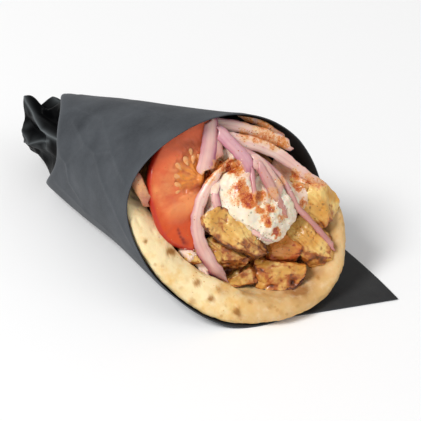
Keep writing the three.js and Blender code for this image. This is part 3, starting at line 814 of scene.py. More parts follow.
def buildPita():
    mesh = pitaShape()
    points, normals = pointsOf(mesh), normalsOf(mesh)
    place = toOpening(points)
    facing = normals @ openingAxes[2]
    lumps = layered(points, pita["lumps"])
    lumps -= pita["pores"] * eased(softNoise(points, pita["poreSize"], 19), 0.5, 0.8)
    shown = eased(facing, -0.45, 0.0)
    toast, bubbles = np.zeros(len(points)), np.zeros(len(points))
    for x, y, radius, dark in pita["spots"]:
        wobble = 1 + 0.35 * softNoise(place, radius * 0.9, 3) + 0.2 * softNoise(place, 0.9, 5)
        away = awayFrom(place, x, y) / (radius * wobble)
        toast = np.maximum(toast, dark * (1 - eased(away, 0.35, 1.15)))
        bubbles += 0.4 * bell(away / 1.3) - 0.3 * bell(away / 0.45)
    blown = pita["bubbles"]
    random = np.random.default_rng(blown["seed"])
    for rimTurn in random.uniform(*blown["turns"], blown["count"]):
        reach = rimAt(pita["rim"], rimTurn) - random.uniform(*blown["back"])
        centre = insideCone(reach, rimTurn, random.choice(blown["depths"]))
        size = random.uniform(*blown["sizes"])
        bubbles += random.uniform(*blown["heights"]) * bell(np.linalg.norm(points - centre, axis=1) / size)
    move = shown * (lumps + pita["puff"] * bubbles) - pita["inset"]
    setPoints(mesh, points + normals * move[:, None])
    juice = spotted(place, pita["juices"]) * (1 + layered(place, pita["juiceNoise"]))
    # under grows towards the lower right: browning and painted shade on the side away from the lamp
    keepValues(mesh, toast=toast * shown, under=eased(0.9 * place[:, 0] - 0.75 * place[:, 1], -8, 48),
               juice=np.clip(juice, 0, 1), deep=eased(-place[:, 2], 16, 40), edge=eased(-facing, -0.12, 0.35))
    return mesh


def pitaFinish():
    look = Finish("pitaBread", pita, Specular_IOR_Level=0.3, Subsurface_Weight=0.15, Subsurface_Scale=0.002)
    under, toast = look.value("under"), look.value("toast")
    blush = look.timesPlus(under, 0.7, look.span(look.grain["Patch"], 0.25, 1.0, -0.2, 0.5))
    mottled = look.plus(blush, look.span(look.noise(190.0, 4.0), 0.3, 0.7, -0.36, 0.46))
    base = look.mix(mottled, pita["crumb"], pita["golden"])
    # painted shade: the right side of the bread washed darker
    darker = look.mix(look.span(under, 0.62, 1.0, 0.0, 0.55), base, pita["tan"])
    # juice stains and painted shadow beside and under the pieces
    soaked = look.washed(darker, ("juice", 0.8, pita["juice"]))
    dusted = look.mix(look.span(look.noise(240.0, 5.0), 0.55, 0.8, 0.0, 0.3), soaked, pita["flour"])
    freckles = look.times(look.specks(330.0, 0.16, 0.34), 0.4)
    toasted = look.mix(look.math("MAXIMUM", toast, freckles), dusted, pita["toast"])
    charred = look.mix(look.span(toast, 0.55, 1.0, 0.0, 0.55), toasted, pita["char"])
    # faces turned away from the opening are washed brown: crust colour, and painted shade in the gap to the
    # paper
    edged = look.washed(charred, ("edge", 0.75, pita["edge"]))
    # painted shade: the bread is multiplied darker the deeper it lies inside the opening
    inner = look.mix(look.times(look.value("deep"), 0.5), edged, pita["toast"], "MULTIPLY")
    return look.finish(inner, look.timesPlus(look.noise(2600.0), 0.4, look.grain["Height"]))


pitaPiece = finished("pita_bread", buildPita(), [pitaFinish()], "pita_bread", ["pita"])
print("pita made")


# Chicken: browned cuts with flat broken faces and a torn grain

chicken = {
    "voxel": 0.45, "smoothing": 4, "facets": 15, "facetCut": (0.62, 0.88), "firstSeed": 300,
    "relief": {"crag": 0.5, "fibre": 0.3, "rough": 0.08, "pits": -0.5, "cracks": -0.5, "hole": -1.0},
    "reliefLimits": (-3.0, 0.6), "inset": 0.1,
    # sides, under, pits and cracks make the faces away from the opening, the undersides and the hollows
    # browner: painted shade mixed with real browning
    "sear": {"sides": 0.62, "under": 0.5, "edge": 0.36, "patch": 0.54, "burns": 1.0, "pits": 0.38,
             "cracks": 0.36,
             "rough": -0.14},
    "blunt": {1: 0.6, 5: 0.2},  # pieces with a full left end, and how full
    "pieces": [  # turn, browning, redness, growth along and across, shift
        (-35, 0.17, 0.05, 1.17, 1.25, (0.0, 0.5, 1.4)), (-33, 0.06, 0.25, 1.02, 1.2, (0.0, 1.0, 1.0)),
        (-6, 0.2, 0.2, 1.25, 1.25, (0.5, 0.0, 4.0)), (-8, -0.08, 1.0, 1.18, 1.15, (0.6, -0.4, 3.4)),
        (-12, 0.2, 0.4, 1.34, 1.35, (-1.0, -0.6, 2.5)), (-42, -0.16, 0.2, 1.03, 1.05, (1.8, -0.6, 0.4)),
        (-60, -0.28, 0.0, 1.15, 1.18, (-2.2, 1.8, 0.4)), (-62, 0.12, 0.2, 1.0, 1.0, (0, 0, 0)),
        (25, 0.3, 0.4, 1.0, 1.0, (0, 0, 0)), (-20, -0.1, 0.2, 1.35, 1.35, (0.5, -0.5, 2.0))],
    "burns": [  # across, up, radius, strength, in the opening's frame
        (33.0, -18.0, 5.0, 0.5), (41.0, -17.5, 5.0, 0.5), (28.0, -30.0, 4.0, 0.5), (9.5, -25.0, 4.0, 0.5),
        (24.0, -15.5, 4.5, 0.35), (12.0, -16.5, 3.5, 0.45), (-11.0, -12.5, 4.0, 0.4), (45.0, -1.5, 5.0, 0.5),
        (-6.0, -19.0, 5.0, 0.3), (6.0, -30.5, 3.5, 0.35), (38.0, -2.5, 4.0, 0.6), (48.0, -3.0, 4.0, 0.6),
        (34.0, 6.0, 3.5, 0.6), (-8.0, -4.0, 2.5, 0.3), (1.0, -14.0, 4.0, 0.3)],
    "holed": 5, "hole": (26.4, -31.2, 1.1, 2.6),  # which piece; across, up, radius, depth
    "grain": (170.0, 900.0), "rough": (0.34, 0.6), "bump": (0.4, 0.0005),
    "pale": tint(242, 203, 120), "golden": tint(216, 156, 66), "brown": tint(174, 98, 30),
    "red": tint(196, 88, 22),
    "dark": tint(78, 36, 12), "herb": tint(92, 64, 26), "glaze": tint(216, 118, 30),
}


def brokenFaces(local, random):  # cuts a rounded lump flat on many sides, and says where its edges are
    ways = random.normal(size=(chicken["facets"], 3)) * [0.6, 1.0, 1.0]
    ways /= np.linalg.norm(ways, axis=1, keepdims=True)
    limits = (local @ ways.T).max(0) * random.uniform(*chicken["facetCut"], chicken["facets"])
    for way, limit in zip(ways, limits):
        local = local - np.maximum(local @ way - limit, 0)[:, None] * way * 0.96
    second = np.sort(local @ ways.T - limits, axis=1)[:, -2]
    return local, bell(np.minimum(second, 0) / 0.8)


def buildChicken(number):
    turn, browning, redness, longer, wider, shift = chicken["pieces"][number - 1]
    mesh = fineCopy("chicken_%d" % number, chicken["voxel"], chicken["smoothing"])
    c, s = math.cos(rad(turn)), math.sin(rad(turn))
    swing = np.array([[c, -s, 0], [s, c, 0], [0, 0, 1]])
    lying = toOpening(pointsOf(mesh)) @ swing
    middle = (lying.max(0) + lying.min(0)) / 2
    local = (lying - middle) * [longer, wider, 1.0]
    far = local[:, :1] / local[:, 0].min()
    local[:, 1:] *= 1 + chicken["blunt"].get(number, 0.0) * eased(far, 0.3, 0.95)
    local, edge = brokenFaces(local, np.random.default_rng(chicken["firstSeed"] + number - 1))
    setPoints(mesh, keptInside(fromOpening((local + middle) @ swing.T + shift)))
    points, normals = pointsOf(mesh), normalsOf(mesh)
    place = toOpening(points)
    outward, upward = normals @ openingAxes[2], normals @ openingAxes[1]
    seed = 37 + 3 * number
    depth = chicken["hole"][3]
    parts = {
        "crag": roughNoise(place, 5.0, seed, 3),
        "fibre": roughNoise(local * [0.2, 1.0, 0.8], 1.5, seed + 1, 2),
        "cracks": bell(roughNoise(local * [0.3, 1.0, 1.0], 4.5, seed + 2, 2) / 0.07),
        "pits": eased(softNoise(place, 2.2, seed + 5), 0.45, 0.8),
        "rough": roughNoise(place, 1.9, seed + 7, 2),
        "patch": roughNoise(place, 5.0, seed + 9, 3),
        "hole": spotted(place, [chicken["hole"]]) * (number == chicken["holed"]),
        "burns": spotted(place, chicken["burns"]),
        "sides": 1 - eased(outward, 0.0, 0.62), "under": eased(-upward, 0.15, 0.8), "edge": edge}
    move = np.clip(weighed(parts, chicken["relief"]), *chicken["reliefLimits"]) - chicken["inset"]
    setPoints(mesh, points + normals * move[:, None])
    keepValues(mesh, sear=np.clip(browning + weighed(parts, chicken["sear"]), 0, 1.3),
               tone=asShare(roughNoise(place, 7.0, seed + 4, 3)),
               fibre=asShare(parts["fibre"] + 0.5 * parts["crag"]),
               redness=np.full(len(points), redness), stain=stainAt(place), hollow=parts["hole"] / depth)
    return mesh


def chickenFinish():
    look = Finish("grilledChicken", chicken, Specular_IOR_Level=0.5, Subsurface_Weight=0.12,
                  Subsurface_Scale=0.0015, Coat_Roughness=0.17)
    patch, redness = look.grain["Patch"], look.value("redness")
    tone = look.mix(look.span(look.value("tone"), 0.2, 0.8), chicken["pale"], chicken["golden"])
    tone = look.mix(look.span(redness, 0.3, 1.0, 0.0, 0.7), tone, chicken["glaze"])
    strands = look.mix(look.span(look.value("fibre"), 0.25, 0.6, 0.6, 0.0), tone, chicken["golden"])
    fine = look.plus(look.span(patch, 0, 1, -0.2, 0.24),
                     look.span(look.noise(560.0, 4.0), 0.3, 0.7, -0.16, 0.18))
    # this value carries real browning and painted shade
    sear = look.plus(look.value("sear"), fine)
    seared = look.mix(redness, chicken["brown"], chicken["red"])
    browned = look.mix(look.span(sear, 0.3, 0.85), strands, seared)
    scorched = look.mix(look.span(sear, 0.8, 1.35, 0.0, 0.9), browned, chicken["dark"])
    flecked = look.mix(look.times(look.specks(420.0, 0.18, 0.32), 0.6), scorched, chicken["herb"])
    # painted shade: the hole is filled with the dark colour
    holed = look.mix(look.value("hollow"), flecked, chicken["dark"])
    return look.finish(look.stained(holed), coat=look.span(patch, 0.2, 0.9, 0.25, 0.8))


chickenLook = chickenFinish()
chickenPieces = []
for number in range(1, len(chicken["pieces"]) + 1):
    name = "chicken_%d" % number
    mesh = buildChicken(number)
    chickenPieces.append(finished("cut_" + name, mesh, [chickenLook], "grilled_chicken", [name]))
print("chicken made")


# Packed filling behind the pieces, its dark browns painted shade in the gaps between them

packed = {
    "voxel": 0.7, "smoothing": 4, "lumps": (7.0, 77, 3), "crag": 1.4, "cragLimits": (-2.5, 0.2), "inset": 0.2,
    "sunk": 5.0,
    "raised": [(23.0, 24.0, 8.0, 5.0), (14.0, 35.0, 7.0, 3.0), (-8.0, 30.0, 6.0, 3.0),
               (-15.0, 12.0, 6.0, 3.0)],
    "grain": (160.0, 800.0), "rough": (0.4, 0.7), "bump": (0.4, 0.0005),
    # dark and brown of the core: a meaty colour darkened as painted shade in the gaps
    "dark": tint(96, 46, 18), "brown": tint(196, 132, 74),
}


def buildCore():
    mesh = fineCopy("filling_core", packed["voxel"], packed["smoothing"])
    points, normals = pointsOf(mesh), normalsOf(mesh)
    place = toOpening(points)
    lumps = roughNoise(points, *packed["lumps"])
    raised = spotted(place, packed["raised"]) * eased(place[:, 2], -40, -10)
    sunk = packed["sunk"] * eased(-place[:, 1], 6, 22) - raised
    move = np.clip(packed["crag"] * lumps, *packed["cragLimits"]) - packed["inset"]
    setPoints(mesh, points + move[:, None] * normals - sunk[:, None] * openingAxes[2])
    keepValues(mesh, lump=asShare(lumps), stain=stainAt(place))
    return mesh


def coreFinish():
    look = Finish("packedFilling", packed, Specular_IOR_Level=0.4)
    share = look.times(look.value("lump"), look.span(look.grain["Patch"], 0, 1, 0.5, 1.4))
    return look.finish(look.stained(look.mix(share, packed["dark"], packed["brown"])))


corePiece = finished("packed_filling", buildCore(), [coreFinish()], "packed_filling", ["filling_core"])
print("core made")


# Tomato: half a slice with skin, wall, seed pocket and gel

tomato = {
    "at": np.array([-11.7, 19.5, -6.0]), "tip": rad(12.5), "nod": rad(5), "radius": 33.0, "stretch": 1.1,
    "thick": 8.0, "from": rad(93), "to": rad(251), "columns": 260, "rows": 150, "skin": 1.5, "rounding": 2.2,
    "inset": 0.4,
    "fuller": [(0.11, 226, 20), (0.055, 186, 30)],  # share, turn and spread of the fuller sides
    "pocket": (-14.0, 4.2, 8.6, 11.0), "pocketDeep": 0.9,  # middle and half extents; depth
    "pocketWobble": [(0.2, 5.0, 9, 1), (0.1, 1.8, 4, 1)],
    "heart": (-8.0, 1.6),  # where the ribs meet
    "ribWobble": [(0.16, 4.0, 71, 1), (0.06, 1.5, 72, 1)], "ribUneven": [(0.5, 2.2, 73, 1)],
    "brownPatch": (-12.5, 17.6, 7.5, 3.6),
    "septum": np.array([(-6.0, -0.5), (-9.0, -5.0), (-14.2, -12.2), (-21.0, -15.6)]), "septumWide": 5.5,
    "relief": {"lumps": 0.22, "strands": 0.12, "ring": 0.5, "septum": 0.8, "pits": -0.5, "brown": -0.8},
    "pits": [  # place, size and strength; the last is the hole beside the seeds; all are painted dark, partly their own colour and partly painted shade
        (-19.7, -23.7, 0.75, 0.8), (-19.0, -25.4, 0.9, 1.0), (-18.5, -27.2, 0.7, 0.9),
        (-17.4, -28.4, 0.9, 1.0),
        (-16.0, -30.4, 1.7, 0.7), (-17.0, -30.0, 0.8, 0.6), (-6.0, 10.5, 1.6, 1.0)],
    "seeds": np.array([  # place and size
        (-12.1, 10.8, 1.0), (-15.6, 9.9, 1.1), (-19.6, 7.4, 1.15), (-20.4, 2.5, 1.15), (-19.8, -1.7, 1.0),
        (-20.0, -5.1, 0.7), (-13.3, 14.4, 0.8), (-9.0, 11.6, 0.8)]),
    "seedSize": (4.8, 3.0, 1.7), "seedSunk": 0.6,
    "grain": (150.0, 800.0), "rough": (0.26, 0.46), "bump": (0.25, 0.0003),
    "wall": tint(222, 102, 58), "pale": tint(240, 152, 90), "red": tint(214, 78, 22),
    "skinTone": tint(186, 40, 20),
    # painted light: the upper part is brightened against the shadow of the paper rim
    "shaded": tint(250, 114, 68), "rib": tint(234, 144, 52), "gel": tint(200, 90, 28),
    "gelDark": tint(170, 74, 28),
    "seed": tint(240, 176, 118), "pit": tint(140, 34, 14),
}
nodCos, nodSin = math.cos(tomato["nod"]), math.sin(tomato["nod"])
tipCos, tipSin = math.cos(tomato["tip"]), math.sin(tomato["tip"])
sliceTurn = (np.array([[1, 0, 0], [0, nodCos, -nodSin], [0, nodSin, nodCos]])
             @ np.array([[tipCos, 0, tipSin], [0, 1, 0], [-tipSin, 0, tipCos]]))


def tomatoPlace(points):  # from the slice's own plane to the row frame
    return fromOpening(np.asarray(points) @ sliceTurn.T + tomato["at"])


def pocketShare(flat):  # 1 well inside the seed pocket, 0 outside
    x, y, wide, high = tomato["pocket"]
    away = np.hypot((flat[..., 0] - x) / wide, (flat[..., 1] - y) / high)
    return 1 - eased(away + layered(flat, tomato["pocketWobble"]), 0.72, 1.05)


def ribShare(flat):  # ribs of flesh from the middle of the slice to each seed
    heartX, heartY = tomato["heart"]
    away = awayFrom(flat, heartX, heartY)
    spoke = np.arctan2(flat[..., 1] - heartY, flat[..., 0] - heartX)
    spoke = spoke + layered(flat, tomato["ribWobble"])
    ribs = np.zeros(away.shape)
    for seedX, seedY, size in tomato["seeds"]:
        gap = spoke - math.atan2(seedY - heartY, seedX - heartX)
        side = np.abs(np.arctan2(np.sin(gap), np.cos(gap))) * np.maximum(away, 1.5)
        length = math.hypot(seedX - heartX, seedY - heartY)
        ribs = np.maximum(ribs,
                          size * bell(side / (0.6 + 0.14 * away)) * (1 - eased(away, length - 1, length + 2)))
    ribs = ribs * (0.8 + layered(flat, tomato["ribUneven"]))
    return np.clip(np.maximum(ribs, 1 - eased(away, 1.0, 4.5)), 0, 1)


def buildTomato():
    halfSpan, centre = (tomato["to"] - tomato["from"]) / 2, (tomato["to"] + tomato["from"]) / 2
    fromCentre = np.linspace(-halfSpan, halfSpan, tomato["columns"] + 1)[None, :]
    turn = centre + fromCentre
    cut = tomato["radius"] * math.cos(halfSpan)
    outside = tomato["radius"] * (1 + bulges(turn, tomato["fuller"]) * eased(fromCentre + halfSpan, 0, 0.2))
    share = (1 - (1 - np.linspace(0, 1, tomato["rows"] + 1)) ** 1.6)[:, None]
    reach = mixed(cut / np.cos(fromCentre), outside, share)
    x, y = reach * np.cos(turn), reach * np.sin(turn) * tomato["stretch"]
    rim = outside - reach
    nearest = np.clip(np.minimum(rim, reach * np.cos(fromCentre) - cut), 0, tomato["rounding"])
    full = np.sqrt(np.clip(1 - (1 - nearest / tomato["rounding"]) ** 2, 0, 1))
    flat = onPlane(x, y)
    pocket, ribs = pocketShare(flat), ribShare(flat)
    brownX, brownY, brownWide, brownHigh = tomato["brownPatch"]
    brown = np.hypot((x - brownX) / brownWide, (y - brownY) / brownHigh) + 0.3 * softNoise(flat, 3.0, 8)
    septum = awayFromLine(flat[..., :2], tomato["septum"]) / tomato["septumWide"]
    septum = septum + 0.25 * softNoise(flat, 4.5, 2)
    parts = {
        "lumps": roughNoise(flat, 6.0, 61, 3), "strands": roughNoise(onPlane(rim / 5, turn * 26), 1.6, 15, 2),
        "ring": bell((rim - 8) / 5), "septum": 1 - eased(septum, 0.35, 1.25), "brown": bell(brown),
        "pits": spotted(flat, tomato["pits"])}
    hollow = tomato["pocketDeep"] * pocket * (1 - 0.75 * ribs)
    half = tomato["thick"] / 2
    top = full * (half + weighed(parts, tomato["relief"]) - hollow - tomato["inset"])
    outer, inner = (keptInside(tomatoPlace(np.stack([x, y, z], -1))) for z in (top, -half * full))
    mesh = slabMesh("tomato", outer, inner)
    values = {
        "skin": 1 - eased(rim + 0.3 * softNoise(flat, 4.0, 6), tomato["skin"] * 0.5, tomato["skin"] * 1.8),
        "pocket": pocket, "ribs": ribs, "brown": parts["brown"], "pits": np.clip(parts["pits"], 0, 1),
        # high marks the upper part, which is painted brighter
        "septum": parts["septum"], "low": eased(-y, 10, 24), "high": eased(y - 0.3 * x, 10, 24),
        "strands": asShare(parts["strands"]),
        "rimRed": 1 - eased(rim + 1.5 * softNoise(flat, 7.0, 3), 1.0, 6.0)}
    keepValues(mesh, **{name: [value, value] for name, value in values.items()})
    return welded(mesh)


def tomatoFinish():
    look = Finish("tomatoFlesh", tomato, Specular_IOR_Level=0.5, Subsurface_Weight=0.15,
                  Subsurface_Scale=0.002,
                  Coat_Roughness=0.14)
    pocket = look.value("pocket")
    veined = look.timesPlus(look.value("strands"), 0.5, look.span(look.grain["Patch"], 0.2, 1.0, -0.2, 0.5))
    # the upper part is washed brighter as painted light
    flesh = look.washed(
        look.mix(veined, tomato["wall"], tomato["pale"]), ("septum", 0.8, tomato["pale"]),
        ("low", 0.9, tomato["red"]), ("high", 0.85, tomato["shaded"]), ("rimRed", 0.75, tomato["red"]))
    gel = look.mix(look.span(look.noise(420.0, 4.0), 0.35, 0.65), tomato["gelDark"], tomato["gel"])
    colour = look.washed(
        look.mix(pocket, flesh, look.washed(gel, ("ribs", 1.0, tomato["rib"]))),
        ("brown", 0.8, tomato["gelDark"]), ("pits", 0.9, tomato["pit"]), ("skin", 1.0, tomato["skinTone"]))
    return look.finish(colour, coat=look.span(pocket, 0, 1, 0.15, 0.5))


tomatoPiece = finished("tomato_half", buildTomato(), [tomatoFinish()], "tomato", ["tomato_slice"])


# One pointed seed set on every given point and turned as the point says
def makeSeedTree():
    tree = Group("seedsOnPoints", "GeometryNodeTree", {
        "Points": "Geometry", "Size": "Vector", "Finish": "Material"}, {"Seeds": "Geometry"})
    ball = tree.geometry("MeshUVSphere", {"Segments": 14, "Rings": 8, "Radius": 0.5})
    spot = tree.spot()
    narrow = tree.times(spot[1], tree.timesPlus(spot[0], -0.6, 0.8))
    pointed = tree.joined(x=spot[0], y=narrow, z=spot[2])
    ball = tree.geometry("SetPosition", {"Geometry": ball, "Position": pointed})
    ball = tree.geometry("SetShadeSmooth", {"Geometry": ball})
    put = tree.geometry("InstanceOnPoints", {
        "Points": tree.geometry("MeshToPoints", {"Mesh": tree.given["Points"]}), "Instance": ball,
        "Rotation": tree.joined(z=tree.kept("spin")),
        "Scale": tree.vector("SCALE", tree.given["Size"], tree.kept("size"))})
    tree.give(Seeds=tree.dressed(put))
    return tree


def seedFinish():
    surface = {"grain": (500.0, 2400.0), "rough": (0.25, 0.4), "bump": (0.3, 0.0002)}
    look = Finish("tomatoSeed", surface, Specular_IOR_Level=0.5, Subsurface_Weight=0.2,
                  Subsurface_Scale=0.001,
                  Coat_Weight=0.6, Coat_Roughness=0.1)
    share = look.span(look.grain["Patch"], 0.2, 0.9, 0.0, 0.8)
    return look.finish(look.mix(share, tomato["seed"], tomato["rib"]))


def buildSeeds(seedLook):
    random = np.random.default_rng(8)
    x, y, size = tomato["seeds"].T
    sunk = tomato["pocketDeep"] * pocketShare(onPlane(x, y)) + 1
    mesh = meshFrom("seedPoints", np.stack([x, y, tomato["thick"] / 2 - tomato["seedSunk"] * sunk], -1))
    outwards = np.arctan2(y - tomato["heart"][1], x - tomato["heart"][0])
    keepValues(mesh, spin=outwards + math.pi + random.normal(0, 0.25, len(x)), size=size)
    seeds = grown(mesh, makeSeedTree(),
                  {"Size": tuple(v * mm for v in tomato["seedSize"]), "Finish": seedLook})
    setPoints(seeds, tomatoPlace(pointsOf(seeds)))
    return seeds


seedLook = seedFinish()
finished("tomato_seeds", buildSeeds(seedLook), [seedLook], "tomato")
print("tomato made")


# Onion: strips swept along their paths, with a purple edge

onion = {
    "thick": 1.7, "fineStep": 0.5, "sides": 36, "ragged": 0.7, "bow": 0.7, "tips": (1.4, 3.2), "slant": 1.8,
    "folded": {2: (9.0, 1.25, 5.0, 0.8,
                   0.75)},  # tip length, thickness, drop of the folded side, its purple, point
    "soak": {2: 0.15, 5: 0.6, 8: 0.4, 9: 0.55, 10: 0.4, 11: 1.1, 12: 0.55,
             13: 0.4},  # strips browned by juice and darkened as painted shade
    "pathSteps": 24, "stain": 0.62, "seedStep": 0.37,
    "strips": [  # widths, rolls, purple side, purple reach, lilac, path in the opening's frame
        (7.0, 8.4, -12, -6, -1.0, 0.66, 0.12, [
            (-14.0, 49.3, 3.0), (-14.2, 43.0, 2.6), (-14.8, 36.1, 2.2), (-15.9, 29.6, 1.8),
            (-17.4, 23.4, 1.6)]),
        (4.2, 8.4, 10, 4, 1.0, 0.26, 0.1, [
            (-8.8, 26.4, 1.8), (-12.7, 20.5, 2.0), (-16.6, 14.7, 2.0), (-19.5, 8.3, 1.6), (-21.0, 1.0, 0.8),
            (-20.7, -5.9, 0.0), (-18.7, -13.5, -1.2), (-15.2, -20.4, -2.8), (-11.4, -26.2, -5.0),
            (-5.2, -31.2, -8.6)]),
        (4.0, 3.4, 10, 6, -1.0, 0.4, 0.3, [
            (-10.9, 18.0, 2.0), (-12.2, 11.8, 3.0), (-10.2, 5.2, 3.0), (-4.5, 0.2, 2.2), (4.0, -4.4, 2.0),
            (9.5, -6.8, 3.0), (15.2, -9.4, 0.4)]),
        (6.4, 5.4, 16, 20, -1.0, 0.12, 0.1, [
            (-16.6, 47.4, -1.0), (-8.8, 46.9, -1.2), (0.0, 45.4, -2.5), (8.8, 43.0, -4.5), (17.1, 40.0, -6.5),
            (25.4, 36.1, -9.0)]),
        (4.2, 4, 40, 40, 1.0, 0.2, 0.2, [
            (0.0, 50.8, -6.0), (7.3, 48.8, -6.5), (14.7, 44.4, -8.5), (23.0, 39.1, -12.0)]),
        (7.4, 4.2, 8, 4, 1.0, 0.15, 0.12, [
            (-8.8, 40.0, 0.0), (0.0, 38.6, -0.8), (8.8, 36.6, -2.0), (17.1, 33.2, -4.5), (25.4, 27.8, -7.5),
            (33.2, 21.8, -10.5), (40.2, 17.6, -14.0), (45.0, 13.6, -17.5)]),
        (6.8, 6.0, -14, -8, 1.0, 0.4, 0.8, [
            (-10.7, 44.0, 3.4), (-6.3, 39.1, 3.8), (-1.5, 34.2, 3.8), (2.9, 28.8, 3.4), (5.4, 23.9, 2.6)]),
        (2.6, 3.0, 12, 18, 1.0, 0.4, 0.7, [
            (1.5, 34.2, 1.5), (8.8, 30.3, 1.0), (15.6, 24.9, 0.0), (21.5, 18.6, -1.0), (24.9, 12.2, -2.0),
            (28.3, 5.9, -3.6), (33.7, 0.5, -6.0), (40.0, -6.3, -9.5), (46.9, -14.2, -13.0)]),
        (5.0, 3.8, -10, -14, 1.0, 0.35, 0.4, [
            (9.0, 27.8, 3.8), (12.2, 21.5, 4.3), (15.7, 14.7, 4.0), (19.4, 8.3, 2.8), (22.9, 2.4, 0.4)]),
        (2.8, 2.4, 0, 0, 1.0, 0.5, 0.6, [(5.4, 24.4, 6.0), (6.3, 17.6, 7.6), (7.3, 10.3, 8.6)]),
        (5.6, 6, 25, 20, -1.0, 0.4, 0.6, [
            (-51.8, 21.5, 3.0), (-49.3, 16.1, 3.6), (-46.6, 11.0, 2.8), (-44.6, 8.0, 1.6)]),
        (5.6, 6, 6, 6, 1.0, 0.15, 0.25, [(-11.7, 40.5, 1.2), (-11.2, 34.7, 1.0), (-11.7, 28.8, 0.6)]),
        (6.6, 6.2, -6, -6, 1.0, 0.1, 0.15, [
            (5.9, 30.3, 2.5), (11.7, 24.9, 2.6), (16.6, 18.6, 2.4), (20.0, 11.7, 1.5)])],
    "grain": (140.0, 900.0), "rough": (0.26, 0.44), "bump": (0.3, 0.0002),
    "flesh": tint(240, 194, 178), "pale": tint(252, 224, 208), "lilac": tint(206, 138, 160),
    "purple": tint(188, 108, 130), "deep": tint(126, 54, 80), "brown": tint(178, 104, 74),
}


def throughPoints(path, steps):  # centripetal curve through the given places
    path = np.asarray(path, float)
    path = np.concatenate([[2 * path[0] - path[1]], path, [2 * path[-1] - path[-2]]])
    out = []
    for i in range(1, len(path) - 2):
        quad = path[i - 1:i + 3]
        knots = np.concatenate([[0], np.cumsum(np.linalg.norm(np.diff(quad, axis=0), axis=1) ** 0.5)])
        t = np.linspace(knots[1], knots[2], steps, endpoint=i == len(path) - 3)[:, None]

        def between(a, b, k0, k1):
            return a * (k1 - t) / (k1 - k0) + b * (t - k0) / (k1 - k0)

        first = [between(quad[j], quad[j + 1], knots[j], knots[j + 1]) for j in range(3)]
        second = [between(first[j], first[j + 1], knots[j], knots[j + 2]) for j in range(2)]
        out.append(between(second[0], second[1], knots[1], knots[2]))
    return np.concatenate(out)


# Keeps on each point of the path how wide, rounded and turned the strip is there
def preparedPath(tree, given):
    line = tree.geometry("MeshToCurve", {"Mesh": given["Path"]})
    line = tree.geometry("ResampleCurve", {"Curve": line, "Length": given["Step"]}, mode="LENGTH")
    line = tree.geometry("SetCurveNormal", {"Curve": line}, mode="Z_UP")
    parameter = tree.add("GeometryNodeSplineParameter")
    share, gone = parameter["Factor"], parameter["Length"]
    roll = tree.between(given["Roll"], given["End Roll"], share)
    line = tree.geometry("SetCurveTilt", {"Curve": line, "Tilt": roll})
    fromEnd = tree.math("MINIMUM", gone, tree.minus(tree.add("GeometryNodeSplineLength")["Length"], gone))
    left = tree.minus(1.0, tree.math("MINIMUM", tree.math("DIVIDE", fromEnd, given["Tip"]), 1.0))
    rounded = tree.math("SQRT", tree.minus(1.02, tree.times(left, left)))
    pointed = tree.minus(tree.timesPlus(left, -0.88, 1.0), rounded)
    line = tree.geometry("SetCurveRadius", {"Curve": line, "Radius": 1.0})
    line = tree.keep(
        line, halfWide=tree.times(tree.between(given["Width"], given["End Width"], share), 0.5), along=share,
        rounded=tree.timesPlus(pointed, tree.times(given["Point"], share), rounded),
        nearEnd=tree.span(fromEnd, 0.0, 0.005, 1.0, 0.0))
    forward, normal = tree.geometry("InputTangent"), tree.geometry("InputNormal")
    return tree.keep(line, "FLOAT_VECTOR", sideways=normal,
                     outwards=tree.vector("CROSS_PRODUCT", normal, forward), forward=forward)


